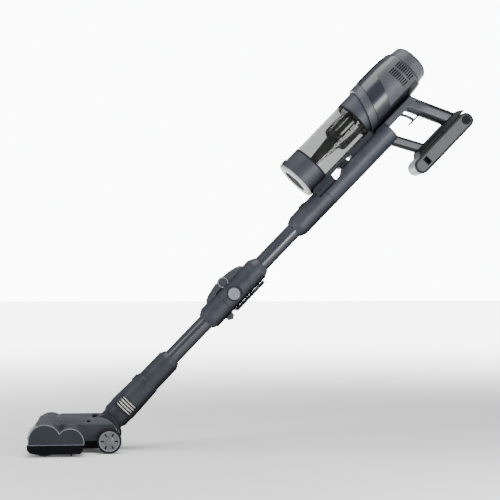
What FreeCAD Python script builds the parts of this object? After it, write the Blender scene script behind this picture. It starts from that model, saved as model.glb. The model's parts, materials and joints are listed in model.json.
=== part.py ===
import FreeCAD, Part
import math
import os
from FreeCAD import Vector

# Cordless stick vacuum, in millimetres. Two working frames are used:
# wand frame: (s, y, t), s runs up the wand from where its axis meets the floor, t is square to it;
# floor frame: (x, y, z), the same origin, x forwards from the nozzle to the user, z up.
# The finished part's origin is the middle of the hand grip.

# ---- driving sizes ----
WAND_TILT = 46.0          # lean of the wand above the floor, degrees
FIT = 0.08                # radial clearance of a sliding or turning fit
GAP = 0.4                 # clearance between pieces that move past each other

TUBE_R = 17.5
TUBE_WALL = 1.5
SOCKET_DEPTH = 54         # how far a tube end goes into its socket
AIR_R = TUBE_R - 2.5      # bore of the air path behind a tube stop
PLUG_R = TUBE_R + 8       # outer radius of the collars that take the tube ends
NOSE_R = TUBE_R + 2       # small end of a collar's chamfer

NECK_PIVOT = 67           # s of the head's pitch axis
NECK_END = 113            # s of the swivel face between yoke and socket
SOCKET_TOP = 270          # s of the neck socket's mouth
LOWER_RUN = 105           # bare tube between the neck and the elbow
UPPER_RUN = 103           # bare tube between the elbow and the hand unit

# the elbow's sizes are given with both runs at 105 and 103; ELBOW_SHIFT moves it when they change
ELBOW_LOW = 375
ELBOW_SPLIT = 432
ELBOW_TOP = 548
ELBOW_SHIFT = LOWER_RUN - (ELBOW_LOW - SOCKET_TOP)
ELBOW_R = TUBE_R + 9
ELBOW_BORE = TUBE_R - 0.5
HINGE_S = 461             # elbow hinge axis
HINGE_T = ELBOW_R + 6
HINGE_R = 12

# so are the hand unit's, and HAND_SHIFT moves it
COLLAR_LOW = 651          # s of the hand unit's mouth
COLLAR_TOP = 757
HAND_SHIFT = ELBOW_SHIFT + UPPER_RUN - (COLLAR_LOW - ELBOW_TOP)

DUCT_R = 26
DUCT_WALL = 3
DUCT_LOW_TOP = 9          # t of the duct's top face under the bin
DUCT_TOP = 19
DUCT_END = 958
BEAM_BOTTOM = 6
BEAM_HALF = 17

BIN_T = 72                # height of the bin axis over the wand axis
BIN_R = 45
BIN_WALL = 2
BIN_FRONT = 735
BIN_CLEAR_LOW = 779
BIN_CLEAR_TOP = 918
BIN_COLLAR_R = BIN_R + 1
LID_THICK = 5
SEAM_LEAN = 0.354         # run of the slanted seam along s for each unit of t
SEAM_S = 914.5            # s where the seam plane crosses the wand axis

MOTOR_T = 71.5
MOTOR_R = 52.5
SHELL_WALL = 3
RING_R = 52
RING_LENGTH = 20
CAP_S = 1076
TAIL_S = 1111.5

GRIP_LEAN = (0.4118, -0.9113)    # unit direction down the grip in the (s, t) plane
GRIP_MIDDLE = (1049.3, -33)
GRIP_THICK = 33.5
GRIP_WIDTH = 34
STRUT_LEAN = (0.472, -0.8816)
STRUT_MIDDLE = (962.8, -49)
STRUT_THICK = 23.7
STRUT_WIDTH = 26

CRADLE_TOP = -75.4
BATTERY_T = -102.7
BATTERY_R = 16.75
BATTERY_LOW = 945.75
BATTERY_HIGH = 1085.25
BATTERY_HALF = 35
BATTERY_WALL = 2.5
CAP_DEPTH = 6
CELL_R = 9
CELL_LENGTH = 65
CELL_COUNT = 6

HEAD_HALF = 125
COVER_HALF = HEAD_HALF - 6.5
END_PLATE = HEAD_HALF - 17     # inner face of the plates that carry the rollers
PLATE_THICK = 4
PARTING = 24              # z of the joint between the head's base and cover
BASE_BOTTOM = 6
COVER_WALL = 2.6
FRONT_LOBE = (-75, 33, 33.5)     # x, z and radius of the cover's front arch
REAR_LOBE = (-24, 29, 29)
SOFT_ROLLER = (-76, 29, 29)
BRUSH_ROLLER = (-22, 22.5, 22.5)
BODY_HALF = 62
SLOT_HALF = 31.5
WHEEL = (55, 25.5, 25.5)
WHEEL_INNER = 66
WHEEL_OUTER = 84
AXLE_R = 4

# ---- shapes ----


def block(s0, s1, y0, y1, t0, t1):
    return Part.makeBox(s1 - s0, y1 - y0, t1 - t0, Vector(s0, y0, t0))


def centred(s0, s1, half, t0, t1):
    return block(s0, s1, -half, half, t0, t1)


def rod(radius, start, end):
    return Part.makeCylinder(radius, (end - start).Length, start, end - start)


def along(s0, s1, radius, t=0):
    return rod(radius, Vector(s0, 0, t), Vector(s1, 0, t))


def across(s, t, radius, y0, y1):
    return rod(radius, Vector(s, y0, t), Vector(s, y1, t))


def pipe(s0, s1, outer, inner, t=0):
    return along(s0, s1, outer, t).cut(along(s0, s1, inner, t))


def plate(outline, y0, y1):
    points = [Vector(s, y0, t) for s, t in outline]
    return Part.Face(Part.makePolygon(points + points[:1])).extrude(Vector(0, y1 - y0, 0))


def bar(section, s0, s1):
    points = [Vector(s0, y, t) for y, t in section]
    return Part.Face(Part.makePolygon(points + points[:1])).extrude(Vector(s1 - s0, 0, 0))


def turned(profile, t=0):
    points = [Vector(s, 0, t + r) for s, r in profile]
    face = Part.Face(Part.makePolygon(points + points[:1]))
    return face.revolve(Vector(0, 0, t), Vector(1, 0, 0), 360)


def joined(*shapes):
    return shapes[0].multiFuse(list(shapes[1:])).removeSplitter()


def both_sides(shape):
    return [shape, shape.mirror(Vector(0, 0, 0), Vector(0, 1, 0))]


def rounded_bar(lean, middle, t_high, t_low, thick, width, radius):
    # a bar with rounded corners that leans in the (s, t) plane
    length = (t_high - t_low) / -lean[1]
    box = Part.makeBox(thick, width, length, Vector(-thick / 2, -width / 2, 0))
    edges = [e for e in box.Edges if abs(e.tangentAt(e.FirstParameter).z) > 0.9]
    box = box.makeFillet(radius, edges)
    box.rotate(Vector(0, 0, 0), Vector(0, 1, 0), math.degrees(math.atan2(-lean[0], -lean[1])))
    low_s = middle[0] + lean[0] / lean[1] * (t_low - middle[1])
    box.translate(Vector(low_s, 0, t_low))
    return box


def stadium(s0, s1, t, radius, y0, y1):
    ends = across(s0, t, radius, y0, y1).fuse(across(s1, t, radius, y0, y1))
    return ends.fuse(block(s0, s1, y0, y1, t - radius, t + radius)).removeSplitter()


def seam_slice(offset, length):
    # everything between the slanted seam moved by offset and the same plane further on by length
    low, high = -40, 140
    outline = [(SEAM_S + offset + SEAM_LEAN * t, t) for t in (low, high)]
    outline += [(s + length, t) for s, t in reversed(outline)]
    return plate(outline, -70, 70)


# ---- wand and elbow ----


def collar(s_mouth, s_end, direction):
    # a socket with a chamfered mouth; direction is +1 if the mouth looks down the wand
    nose = [(s_mouth, 0), (s_mouth, NOSE_R), (s_mouth + 14 * direction, PLUG_R)]
    shape = turned(nose + [(s_end, PLUG_R), (s_end, 0)])
    stop = s_mouth + SOCKET_DEPTH * direction
    shape = shape.cut(along(min(s_mouth, stop), max(s_mouth, stop), TUBE_R + FIT))
    return shape.cut(along(min(stop, s_end), max(stop, s_end), AIR_R))


def release_pocket(s0, s1, floor):
    return centred(s0, s1, 7 + GAP, floor, floor + 20)


def release_button(s0, s1, low, high):
    edge = 1.2
    body = centred(s0 + GAP, s1 - GAP, 7, low, high - edge)
    crown = centred(s0 + GAP + edge, s1 - GAP - edge, 7 - edge, high - edge, high)
    return joined(body, crown)


RAIL_FOOT = 740                    # s of the bin rail's front face
WAND_BUTTON = (693, 712, TUBE_R + 3.5)       # s from, s to and floor height of the button pockets
HEAD_BUTTON = (175, 193, TUBE_R + 5.1)


def wand_collar():
    # the collar's top is cut away where the bin rail's foot lands on it
    shape = collar(COLLAR_LOW, COLLAR_TOP, 1).cut(release_pocket(*WAND_BUTTON))
    return shape.cut(centred(RAIL_FOOT - GAP, COLLAR_TOP + 1, 40, DUCT_LOW_TOP, 40))


def wand_release():
    s0, s1, floor = WAND_BUTTON
    return release_button(s0, s1, floor + 2.4, PLUG_R + 1.8)


def upper_tube():
    top = COLLAR_LOW + SOCKET_DEPTH - GAP + HAND_SHIFT - ELBOW_SHIFT
    return pipe(ELBOW_TOP - 28, top, TUBE_R, TUBE_R - TUBE_WALL)


def lower_tube():
    bottom = SOCKET_TOP - SOCKET_DEPTH + GAP - ELBOW_SHIFT
    return pipe(bottom, ELBOW_LOW + 25, TUBE_R, TUBE_R - TUBE_WALL)


LUG_HALF = 4
RIB_HALF = 9
PIN_R = 4


def elbow_lower_shell():
    nose = ELBOW_LOW + 13
    profile = [(ELBOW_LOW, 0), (ELBOW_LOW, NOSE_R), (nose, ELBOW_R)]
    profile += [(ELBOW_SPLIT, ELBOW_R), (ELBOW_SPLIT, 0)]
    shape = turned(profile)
    arm_under = ELBOW_R + GAP
    arm_end = HINGE_S - 0.9 * HINGE_R
    rib = [(404, 20), (405, 27), (410, 32.5), (420, 36), (435, 39.5), (arm_end, 42)]
    rib += [(arm_end, arm_under), (ELBOW_SPLIT, arm_under), (ELBOW_SPLIT, 20)]
    arm = plate(rib, -RIB_HALF, RIB_HALF)
    relief = across(HINGE_S, HINGE_T, HINGE_R + GAP, LUG_HALF, RIB_HALF + 1)
    for side in both_sides(relief):
        arm = arm.cut(side)
    lug = across(HINGE_S, HINGE_T, HINGE_R, -LUG_HALF, LUG_HALF)
    hook = plate([(411, -24), (411, -33), (420, -38.5), (429, -33), (429, -24)], -6, 6)
    shape = joined(shape, arm, lug, hook)
    shape = shape.cut(along(ELBOW_LOW, ELBOW_LOW + 25, TUBE_R))
    shape = shape.cut(along(ELBOW_LOW + 25, ELBOW_LOW + 27, TUBE_R - TUBE_WALL))
    shape = shape.cut(along(ELBOW_LOW + 27, ELBOW_SPLIT, 22))
    return shape.cut(across(HINGE_S, HINGE_T, PIN_R + FIT, -10, 10))


SLIDER_T = -1
SLIDER_R = 14
SLIDER_POCKET_R = 16.8
SLIDER_FLOOR = -19
LATCH_STEMS = (446, 508)
LATCH_HALF = 7
LATCH_TRAVEL = 2.2


def elbow_upper_shell():
    nose = ELBOW_TOP - 15
    front = ELBOW_SPLIT + GAP
    shape = turned([(front, 0), (front, ELBOW_R), (nose, ELBOW_R), (ELBOW_TOP, NOSE_R), (ELBOW_TOP, 0)])
    rib = [(HINGE_S, 20), (HINGE_S, 42), (470, 42), (487, 40), (500, 37)]
    rib += [(512, 32.5), (516, 27.5), (517, 20)]
    cheeks = across(HINGE_S, HINGE_T, HINGE_R, -RIB_HALF, RIB_HALF)
    shape = joined(shape, plate(rib, -RIB_HALF, RIB_HALF), cheeks)
    shape = shape.cut(across(HINGE_S, HINGE_T, HINGE_R + GAP, -LUG_HALF - GAP, LUG_HALF + GAP))
    shape = shape.cut(along(ELBOW_TOP - 28, ELBOW_TOP, TUBE_R))
    shape = shape.cut(along(front, ELBOW_TOP - 30, ELBOW_BORE))
    shape = shape.cut(along(ELBOW_TOP - 30, ELBOW_TOP - 28, TUBE_R - TUBE_WALL))
    shape = shape.cut(across(HINGE_S, SLIDER_T, SLIDER_POCKET_R, -30, SLIDER_FLOOR))
    shape = shape.cut(elbow_pin())
    for s in LATCH_STEMS:
        shape = shape.cut(centred(s - GAP, s + 6 + LATCH_TRAVEL + GAP, 3 + GAP, -30, -18.6))
    return shape


def elbow_pin():
    pin = across(HINGE_S, HINGE_T, PIN_R, -RIB_HALF, RIB_HALF)
    return joined(pin, *both_sides(across(HINGE_S, HINGE_T, HINGE_R - 0.5, RIB_HALF, RIB_HALF + 2)))


def elbow_hose():
    s0, s1 = ELBOW_LOW + 28, ELBOW_TOP - 31
    outer, root, inner = ELBOW_BORE - 0.5, ELBOW_BORE - 1.3, ELBOW_BORE - 2.2
    pitch = 8
    count = int((s1 - s0) // pitch)
    shape = pipe(s0, s0 + count * pitch, root, inner)
    ribs = [pipe(s0 + i * pitch + 2, s0 + i * pitch + 5, outer, inner) for i in range(count)]
    return joined(shape, *ribs)


def elbow_slider():
    shape = across(HINGE_S - 0.5, SLIDER_T, SLIDER_R, SLIDER_FLOOR - 6.5, SLIDER_FLOOR - GAP)
    for i in range(-2, 3):
        s = HINGE_S - 0.5 + 4.4 * i
        shape = shape.cut(block(s - 0.7, s + 0.7, SLIDER_FLOOR - 7, SLIDER_FLOOR - 5.6, -11, 9))
    return shape


def elbow_latch():
    top = -ELBOW_R - 0.7
    outline = [(436, top), (441, -33.5), (524, -33.5), (527, -28.5), (523, top)]
    shape = plate(outline, -LATCH_HALF, LATCH_HALF)
    stems = [centred(s, s + 6, 3, -28, -19.5) for s in LATCH_STEMS]
    shape = joined(shape, *stems)
    return shape.cut(centred(500, 520, LATCH_HALF + 1, -32, -29))


# ---- neck ----

SPIGOT_R = 20.8
SPIGOT_END = 151.5
TRUNNION_R = 6
TRUNNION_END = 38
DRUM_R = 27
YOKE_HALF = 30
SWIVEL_R = 29


def neck_yoke():
    body = [(NECK_PIVOT, 0), (NECK_PIVOT, 25), (90, 25.5), (97, SWIVEL_R), (NECK_END, SWIVEL_R)]
    body += [(NECK_END, SPIGOT_R), (SPIGOT_END, SPIGOT_R), (SPIGOT_END, 0)]
    drum = across(NECK_PIVOT, 0, DRUM_R, -YOKE_HALF, YOKE_HALF)
    shape = joined(turned(body), drum)
    shape = shape.cut(along(NECK_PIVOT - DRUM_R - 1, SPIGOT_END, AIR_R + 1.5))
    trunnions = both_sides(across(NECK_PIVOT, 0, TRUNNION_R, YOKE_HALF - 1, TRUNNION_END))
    return joined(shape, *trunnions)


WINDOW = (117, 142, 20)            # s from, s to and half height of the bellows windows
BELLOWS_R = 25.5


def neck_socket():
    face = NECK_END + GAP
    body = [(face, 0), (face, SWIVEL_R), (118, SWIVEL_R + 1), (142, SWIVEL_R + 0.4)]
    body += [(197, 27), (198, PLUG_R)]
    body += [(SOCKET_TOP - 12, PLUG_R), (SOCKET_TOP, NOSE_R), (SOCKET_TOP, 0)]
    shape = turned(body)
    stop = SOCKET_TOP - SOCKET_DEPTH
    shape = shape.cut(along(stop, SOCKET_TOP, TUBE_R + FIT))
    shape = shape.cut(along(SPIGOT_END + 0.5, stop, AIR_R))
    shape = shape.cut(along(WINDOW[1] + 1, SPIGOT_END + 0.5, SPIGOT_R + FIT))
    shape = shape.cut(along(face, WINDOW[1] + 1, BELLOWS_R + 0.2))
    for window in both_sides(block(WINDOW[0], WINDOW[1], 12, 40, -WINDOW[2], WINDOW[2])):
        shape = shape.cut(window)
    return shape.cut(release_pocket(*HEAD_BUTTON))


def head_release():
    s0, s1, floor = HEAD_BUTTON
    return release_button(s0, s1, floor + 2.2, floor + 7)


def neck_bellows():
    root, inner, ribs = BELLOWS_R - 2, SPIGOT_R + 0.5, 4
    pitch = (WINDOW[1] - WINDOW[0]) / ribs
    shape = pipe(WINDOW[0], WINDOW[1], root, inner)
    starts = [WINDOW[0] + i * pitch + 1 for i in range(ribs)]
    rings = [pipe(s, s + 3.4, BELLOWS_R, inner) for s in starts]
    return joined(shape, *rings)


# ---- hand unit: duct, rail, handle ----

PORT = (868, 900, 11)              # s from, s to and half width of the inlet between duct and bin
SLIDE_NOTCH = (793, 853)


def duct_outline(inset):
    low, top = DUCT_LOW_TOP - inset, DUCT_TOP - inset
    end = DUCT_END - 7 * inset         # a thick end wall, where the strut meets the duct
    step = [(825 + inset / 3, top), (812 - inset / 3, low)]
    return [(COLLAR_TOP, -40), (end, -40), (end, top)] + step + [(COLLAR_TOP, low)]


def duct_outer():
    return along(COLLAR_TOP, DUCT_END, DUCT_R).common(plate(duct_outline(0), -40, 40))


def beam():
    outline = [(930, BEAM_BOTTOM), (1048.3, BEAM_BOTTOM), (1043, 18), (1043, 30), (930, 30)]
    shape = plate(outline, -BEAM_HALF, BEAM_HALF)
    shape = shape.cut(along(900, 1060, MOTOR_R, MOTOR_T))
    return shape.cut(along(900, 985, RING_R, BIN_T))


def duct_arm():
    inner = along(COLLAR_TOP, DUCT_END, DUCT_R - DUCT_WALL).common(plate(duct_outline(DUCT_WALL), -40, 40))
    shape = joined(duct_outer(), beam()).cut(inner)
    shape = shape.cut(centred(PORT[0], PORT[1], PORT[2], 0, 40))
    return shape.cut(centred(999, 1010, TRIGGER_HALF + GAP, BEAM_BOTTOM - 1, 10.2))


def bin_rail():
    outline = [(RAIL_FOOT, DUCT_LOW_TOP), (SLIDE_NOTCH[0], DUCT_LOW_TOP), (SLIDE_NOTCH[0], 26)]
    outline += [(SLIDE_NOTCH[1], 26), (SLIDE_NOTCH[1], DUCT_TOP), (921, DUCT_TOP)]
    outline += [(921, 36), (RAIL_FOOT, 36)]
    shape = plate(outline, -40, 40)
    section = [(-13, 8), (-16, 20), (-28, 36), (28, 36), (16, 20), (13, 8)]
    shape = shape.common(bar(section, 730, 930))
    shape = shape.cut(along(730, 930, BIN_COLLAR_R + 0.5 + GAP, BIN_T))
    shape = shape.cut(along(730, COLLAR_TOP, AIR_R))
    return shape.cut(centred(PORT[0], PORT[1], PORT[2], 0, 60))


def bin_release():
    body = centred(818, 842, 17, DUCT_TOP + 0.7, 25.2)
    thumbs = both_sides(block(820, 840, 16, 22, DUCT_TOP + 1.5, 25))
    return joined(body, *thumbs)


def grip_bar(thick, width, radius, t_high, t_low):
    shape = rounded_bar(GRIP_LEAN, GRIP_MIDDLE, 30, -100, thick, width, radius)
    return shape.common(centred(980, 1120, 40, t_low, t_high))


def beside_grip(distance, reach, t_high, t_low):
    # a slab that lies behind the grip's axis, from distance to distance + reach
    normal = (-GRIP_LEAN[1], GRIP_LEAN[0])
    points = []
    far = distance + reach
    for t, away in ((t_high, distance), (t_low, distance), (t_low, far), (t_high, far)):
        s = GRIP_MIDDLE[0] + GRIP_LEAN[0] / GRIP_LEAN[1] * (t - GRIP_MIDDLE[1])
        points.append((s + normal[0] * away, t + normal[1] * away))
    return points


PAD_DEPTH = 5
PAD_HALF = 13


def grip_pad():
    slab = plate(beside_grip(GRIP_THICK / 2 - PAD_DEPTH, 2 * PAD_DEPTH, -6, -72), -PAD_HALF, PAD_HALF)
    return grip_bar(GRIP_THICK, GRIP_WIDTH, 13, BEAM_BOTTOM, CRADLE_TOP).common(slab)


TRIGGER_HALF = 8
BLADE_T = -22.5
BLADE_TIP = 1034
TRIGGER_TRAVEL = 4


def grip_shell():
    shape = grip_bar(GRIP_THICK, GRIP_WIDTH, 13, BEAM_BOTTOM, CRADLE_TOP)
    shape = shape.cut(grip_bar(GRIP_THICK - 7, GRIP_WIDTH - 6, 10, BEAM_BOTTOM - 4, CRADLE_TOP + 4))
    outline = beside_grip(GRIP_THICK / 2 - PAD_DEPTH - 3, 2 * PAD_DEPTH, -3, -72)
    backing = plate(outline, -PAD_HALF - 1, PAD_HALF + 1)
    shape = shape.fuse(backing.common(grip_bar(GRIP_THICK, GRIP_WIDTH, 13, BEAM_BOTTOM, CRADLE_TOP)))
    slab = plate(beside_grip(GRIP_THICK / 2 - PAD_DEPTH, 2 * PAD_DEPTH, -6, -72), -PAD_HALF, PAD_HALF)
    shape = shape.cut(slab)
    shape = shape.cut(centred(1015, 1036, TRIGGER_HALF + GAP, BLADE_T - 2, BLADE_T + 2))
    for hole in screw_shapes(GRIP_SCREWS, GRIP_WIDTH / 2, -1):
        shape = shape.cut(hole)
    return shape.removeSplitter()


def front_strut():
    shape = rounded_bar(STRUT_LEAN, STRUT_MIDDLE, 10, -92, STRUT_THICK, STRUT_WIDTH, 8)
    shape = shape.cut(centred(880, 1100, 40, -120, CRADLE_TOP))
    shape = shape.cut(duct_outer())
    shape = shape.cut(centred(900, 1000, 40, -12, 40))
    for hole in screw_shapes(STRUT_SCREWS, STRUT_WIDTH / 2, -1):
        shape = shape.cut(hole)
    return shape


def battery_cradle():
    top = BATTERY_T + BATTERY_R + GAP
    outline = [(957, top), (961, -80), (965, CRADLE_TOP), (1089, CRADLE_TOP), (1092, -77), (1102, top)]
    shape = plate(outline, -31, 31)
    section = [(-31, top), (-31, -82), (-22, CRADLE_TOP), (22, CRADLE_TOP), (31, -82), (31, top)]
    return shape.common(bar(section, 900, 1120))


def on_axis(lean, middle, t):
    return (middle[0] + lean[0] / lean[1] * (t - middle[1]), t)


GRIP_SCREWS = [on_axis(GRIP_LEAN, GRIP_MIDDLE, t) for t in (-6, -62)]
STRUT_SCREWS = [on_axis(STRUT_LEAN, STRUT_MIDDLE, t) for t in (-36, -66)]


def screw_shapes(places, face, sunk=0.2):
    # sunk is how far the heads lie under the face; a negative value cuts holes open to the outside
    screws = []
    for s, t in places:
        head = across(s, t, 2.8, face - 2, face - sunk)
        screws.append(joined(head, across(s, t, 1.4, face - 9, face - 2)))
    return screws


def handle_screws():
    screws = screw_shapes(GRIP_SCREWS, GRIP_WIDTH / 2) + screw_shapes(STRUT_SCREWS, STRUT_WIDTH / 2)
    return Part.makeCompound(screws)


def trigger():
    arm = [(999.5, 9.6), (1004.5, 9.6), (1004.5, 4), (1010, -6)]
    arm += [(1014, -22), (1010.5, -22), (1006.5, -7), (999.5, 4)]
    shape = plate(arm, -TRIGGER_HALF, TRIGGER_HALF)
    blade = centred(997, BLADE_TIP, TRIGGER_HALF, BLADE_T - 1.5, BLADE_T + 1.5)
    stop = centred(BLADE_TIP - 2, BLADE_TIP, TRIGGER_HALF + 1, BLADE_T - 1.5, BLADE_T + 3)
    return joined(shape, blade, stop)


SWITCH_S = 1043
SWITCH_DEPTH = GRIP_THICK / 2 - 8.75


def trigger_switch():
    body = centred(SWITCH_S, SWITCH_S + SWITCH_DEPTH, 13, BLADE_T - 6.5, BLADE_T + 3)
    plunger = block(BLADE_TIP + TRIGGER_TRAVEL + 1, SWITCH_S, 2.5, 6.5, BLADE_T - 1.5, BLADE_T + 1.5)
    return joined(body, plunger)


def trigger_spring():
    start, end = BLADE_TIP + 0.2, SWITCH_S - 0.2
    coils, wire, coil_r, side = 5, 0.45, 2.6, -4.5
    pitch = (end - start) / coils
    rings = []
    for i in range(coils):
        middle = Vector(start + (i + 0.5) * pitch, side, BLADE_T)
        rings.append(Part.makeTorus(coil_r, wire, middle, Vector(1, 0, 0)))
    spine = rod(wire, Vector(start, side + coil_r, BLADE_T), Vector(end, side + coil_r, BLADE_T))
    return joined(spine, *rings)


# ---- battery ----

PORT_S = 961.5
KNOB_S = 1086.5
KNOB_R = 9.6


def battery_outline(inset, y0, y1):
    return stadium(BATTERY_LOW, BATTERY_HIGH, BATTERY_T, BATTERY_R - inset, y0, y1)


def battery_case():
    front = -BATTERY_HALF + CAP_DEPTH
    hollow = battery_outline(BATTERY_WALL, front, BATTERY_HALF - BATTERY_WALL)
    return battery_outline(0, front, BATTERY_HALF).cut(hollow)


def battery_cap():
    front, back = -BATTERY_HALF, -BATTERY_HALF + CAP_DEPTH
    shape = battery_outline(0, front, back).cut(battery_outline(BATTERY_WALL, front + 1.6, back))
    shape = shape.cut(battery_outline(5.5, front, front + 0.6))
    shape = shape.cut(block(PORT_S - 6.4, PORT_S + 6.4, front, back, BATTERY_T - 9, BATTERY_T + 9))
    return shape.cut(across(KNOB_S, BATTERY_T, KNOB_R + GAP, front - 1, back))


def battery_cells():
    pitch = (KNOB_S - KNOB_R - CELL_R - 0.4 - (PORT_S + 7.5 + CELL_R)) / (CELL_COUNT - 1)
    first = PORT_S + 7.5 + CELL_R
    back = BATTERY_HALF - BATTERY_WALL - 0.5
    cells = []
    for i in range(CELL_COUNT):
        can = across(first + i * pitch, BATTERY_T, CELL_R - 0.1, back - CELL_LENGTH, back - 1)
        cells.append(joined(can, across(first + i * pitch, BATTERY_T, 3, back - 1, back)))
    return Part.makeCompound(cells)


def charge_inlet():
    front = -BATTERY_HALF + 0.4
    shape = block(PORT_S - 6.2, PORT_S + 6.2, front, front + 12, BATTERY_T - 8.8, BATTERY_T + 8.8)
    shape = shape.cut(block(PORT_S - 4.2, PORT_S + 4.2, front, front + 9, BATTERY_T - 6.8, BATTERY_T + 6.8))
    pins = [across(PORT_S, BATTERY_T + dt, 1, front + 2, front + 10) for dt in (-3.4, 3.4)]
    return joined(shape, *pins)


def battery_release():
    front, depth = -BATTERY_HALF + 0.3, 1.4
    shape = across(KNOB_S, BATTERY_T, KNOB_R, front, front + depth)
    shape = shape.cut(block(KNOB_S - 5, KNOB_S + 5, front - 1, front + 0.4, BATTERY_T - 1, BATTERY_T + 1))
    return shape.cut(block(KNOB_S - 1, KNOB_S + 1, front - 1, front + 0.4, BATTERY_T - 5, BATTERY_T + 5))


# ---- dust bin ----

LID_PIVOT = (BIN_FRONT - 3, BIN_T - BIN_R + 2.5)
LID_S = BIN_FRONT - 0.5 - LID_THICK
LATCH_PIVOT = (744, BIN_T + BIN_R + 1.9)
LATCH_PIN_R = 0.8


def bin_wall():
    shape = pipe(BIN_CLEAR_LOW, BIN_CLEAR_TOP, BIN_R, BIN_R - BIN_WALL, BIN_T)
    return shape.cut(centred(PORT[0], PORT[1], PORT[2], 0, 50))


def bin_front_collar():
    inner = BIN_R - BIN_WALL
    shape = pipe(BIN_FRONT, BIN_CLEAR_LOW, BIN_COLLAR_R, inner, BIN_T)
    lid_s, lid_t = LID_PIVOT
    stem = block(lid_s, BIN_FRONT + 0.5, 5.4, 10, lid_t - 2.5, lid_t + 2.5)
    fork = joined(across(lid_s, lid_t, 2.5, 5.4, 10), stem)
    s, t = LATCH_PIVOT
    lugs = block(s - 2.5, s + 2.5, 8.4, 10.6, BIN_T + BIN_R - 1, t + 1.8)
    shape = joined(shape, *both_sides(fork), *both_sides(lugs))
    shape = shape.cut(across(lid_s, lid_t, 1.2 + FIT, -12, 12))
    shape = shape.cut(across(s, t, LATCH_PIN_R + FIT, -12, 12))
    return shape.cut(centred(736, 754, 8.4, BIN_T + BIN_COLLAR_R - 1.1, 130))


def bin_rear_collar():
    shape = pipe(BIN_CLEAR_TOP, 970, BIN_COLLAR_R + 0.5, BIN_R - BIN_WALL, BIN_T)
    return shape.common(seam_slice(-80, 80))


def cyclone_shroud():
    outer, wall, front = 29.5, 2, 850
    dome = [(front, 18), (front + 4, outer - 3), (front + 9, outer), (BIN_CLEAR_TOP, outer)]
    inner = outer - wall
    dome += [(BIN_CLEAR_TOP, inner), (front + 10, inner), (front + 5, inner - 3), (front + 2, 18)]
    flange = pipe(BIN_CLEAR_TOP, BIN_CLEAR_TOP + 3, BIN_R - BIN_WALL, 20, BIN_T)
    shape = joined(turned(dome, BIN_T), flange)
    slots = 12
    for i in range(slots):
        slot = centred(front + 18, BIN_CLEAR_TOP - 8, 2, BIN_T + 20, BIN_T + outer + 1)
        slot.rotate(Vector(0, 0, BIN_T), Vector(1, 0, 0), 360 * i / slots)
        shape = shape.cut(slot)
    return shape


def cyclone_cone():
    wall, front = 1.6, 787
    profile = [(front, 11), (850, 17), (850, 17 - wall), (front, 11 - wall)]
    rim = pipe(850, 852, 17.9, 17 - wall, BIN_T)
    return joined(turned(profile, BIN_T), rim)


def pre_filter():
    return pipe(862, BIN_CLEAR_TOP - 1, 24, 12, BIN_T)


def bin_lid():
    s, t = LID_PIVOT
    back = LID_S + LID_THICK
    disc = along(LID_S, back, BIN_R + 0.5, BIN_T).cut(centred(LID_S - 1, back + 1, 60, 0, t))
    disc = disc.cut(along(LID_S, LID_S + 3.2, 23.5, BIN_T))
    plug = pipe(back - 1, back + 5, BIN_R - BIN_WALL - GAP, BIN_R - 5, BIN_T)
    knuckle = joined(across(s, t, 2.5, -5, 5), centred(s - 2.5, s + 2.5, 5, t, t + 4))
    shape = joined(disc, plug)
    for notch in both_sides(block(LID_S - 1, back + 6, 5, 10.4, t - 4, t + 3.2)):
        shape = shape.cut(notch)
    shape = shape.cut(centred(LID_S + 1.2, LID_S + 4.4, 4.6, BIN_T + BIN_R - 1.1, 130))
    return joined(shape, knuckle, *both_sides(across(s, t, 1.2, 4, 9.6)))


def lid_latch():
    top = centred(LID_S + 1.6, 752, 8, BIN_T + BIN_COLLAR_R + 0.3, LATCH_PIVOT[1] + 1)
    bolt = centred(LID_S + 1.6, LID_S + 4, 4.2, BIN_T + BIN_R - 0.7, BIN_T + BIN_COLLAR_R + 0.4)
    pins = both_sides(across(LATCH_PIVOT[0], LATCH_PIVOT[1], LATCH_PIN_R, 7.5, 10))
    return joined(top, bolt, *pins)


# ---- motor unit ----

MOTOR_CAN_R = 26
SHAFT_R = 3
PANEL = (996, 1073.5, 33)           # s from, s to and half height of the side vents
STRIP = (982, 1060, 15)
VENTS = ((1036, 1052), (1056, 1071))      # s from and to of the two columns of side vent slots
VENT_T = MOTOR_T - 1
MODE_S = 1067
MODE_R = 5


def shell_profile(grow):
    radius = MOTOR_R + grow
    return [(935, radius), (1030, radius), (1050, radius - 1.2), (CAP_S, radius - 4.2)]


def shell_layer(outer, inner):
    return turned(shell_profile(outer) + list(reversed(shell_profile(inner))), MOTOR_T)


def panel_space(grow):
    layer = shell_layer(grow, -2)
    boxes = both_sides(block(PANEL[0], PANEL[1], 20, 60, MOTOR_T - PANEL[2], MOTOR_T + PANEL[2]))
    return layer.common(boxes[0].fuse(boxes[1]))


def vent_slots(s0, s1):
    slots = []
    rows, pitch, half = 9, 5.1, 1.25
    for i in range(rows):
        t = VENT_T + (i - (rows - 1) / 2) * pitch
        slots.append(centred(s0, s1, 70, t - half, t + half))
    return Part.makeCompound(slots)


def vent_panels():
    return panel_space(0.8).cut(vent_slots(*VENTS[0])).cut(vent_slots(*VENTS[1]))


def strip_space(grow):
    return shell_layer(grow, -1.5).common(centred(STRIP[0], STRIP[1], STRIP[2], MOTOR_T + 20, 140))


def top_strip():
    return strip_space(0.9)


def motor_housing():
    shape = shell_layer(0, -SHELL_WALL).common(seam_slice(RING_LENGTH + GAP, 200))
    shape = shape.cut(panel_space(1)).cut(strip_space(1))
    shape = shape.cut(vent_slots(*VENTS[0])).cut(vent_slots(*VENTS[1]))
    return shape.cut(rod(MODE_R + GAP, Vector(MODE_S, 0, 110), Vector(MODE_S, 0, 130)))


def mode_button():
    return rod(MODE_R, Vector(MODE_S, 0, MOTOR_T + 46.4), Vector(MODE_S, 0, MOTOR_T + 50.2))


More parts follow.
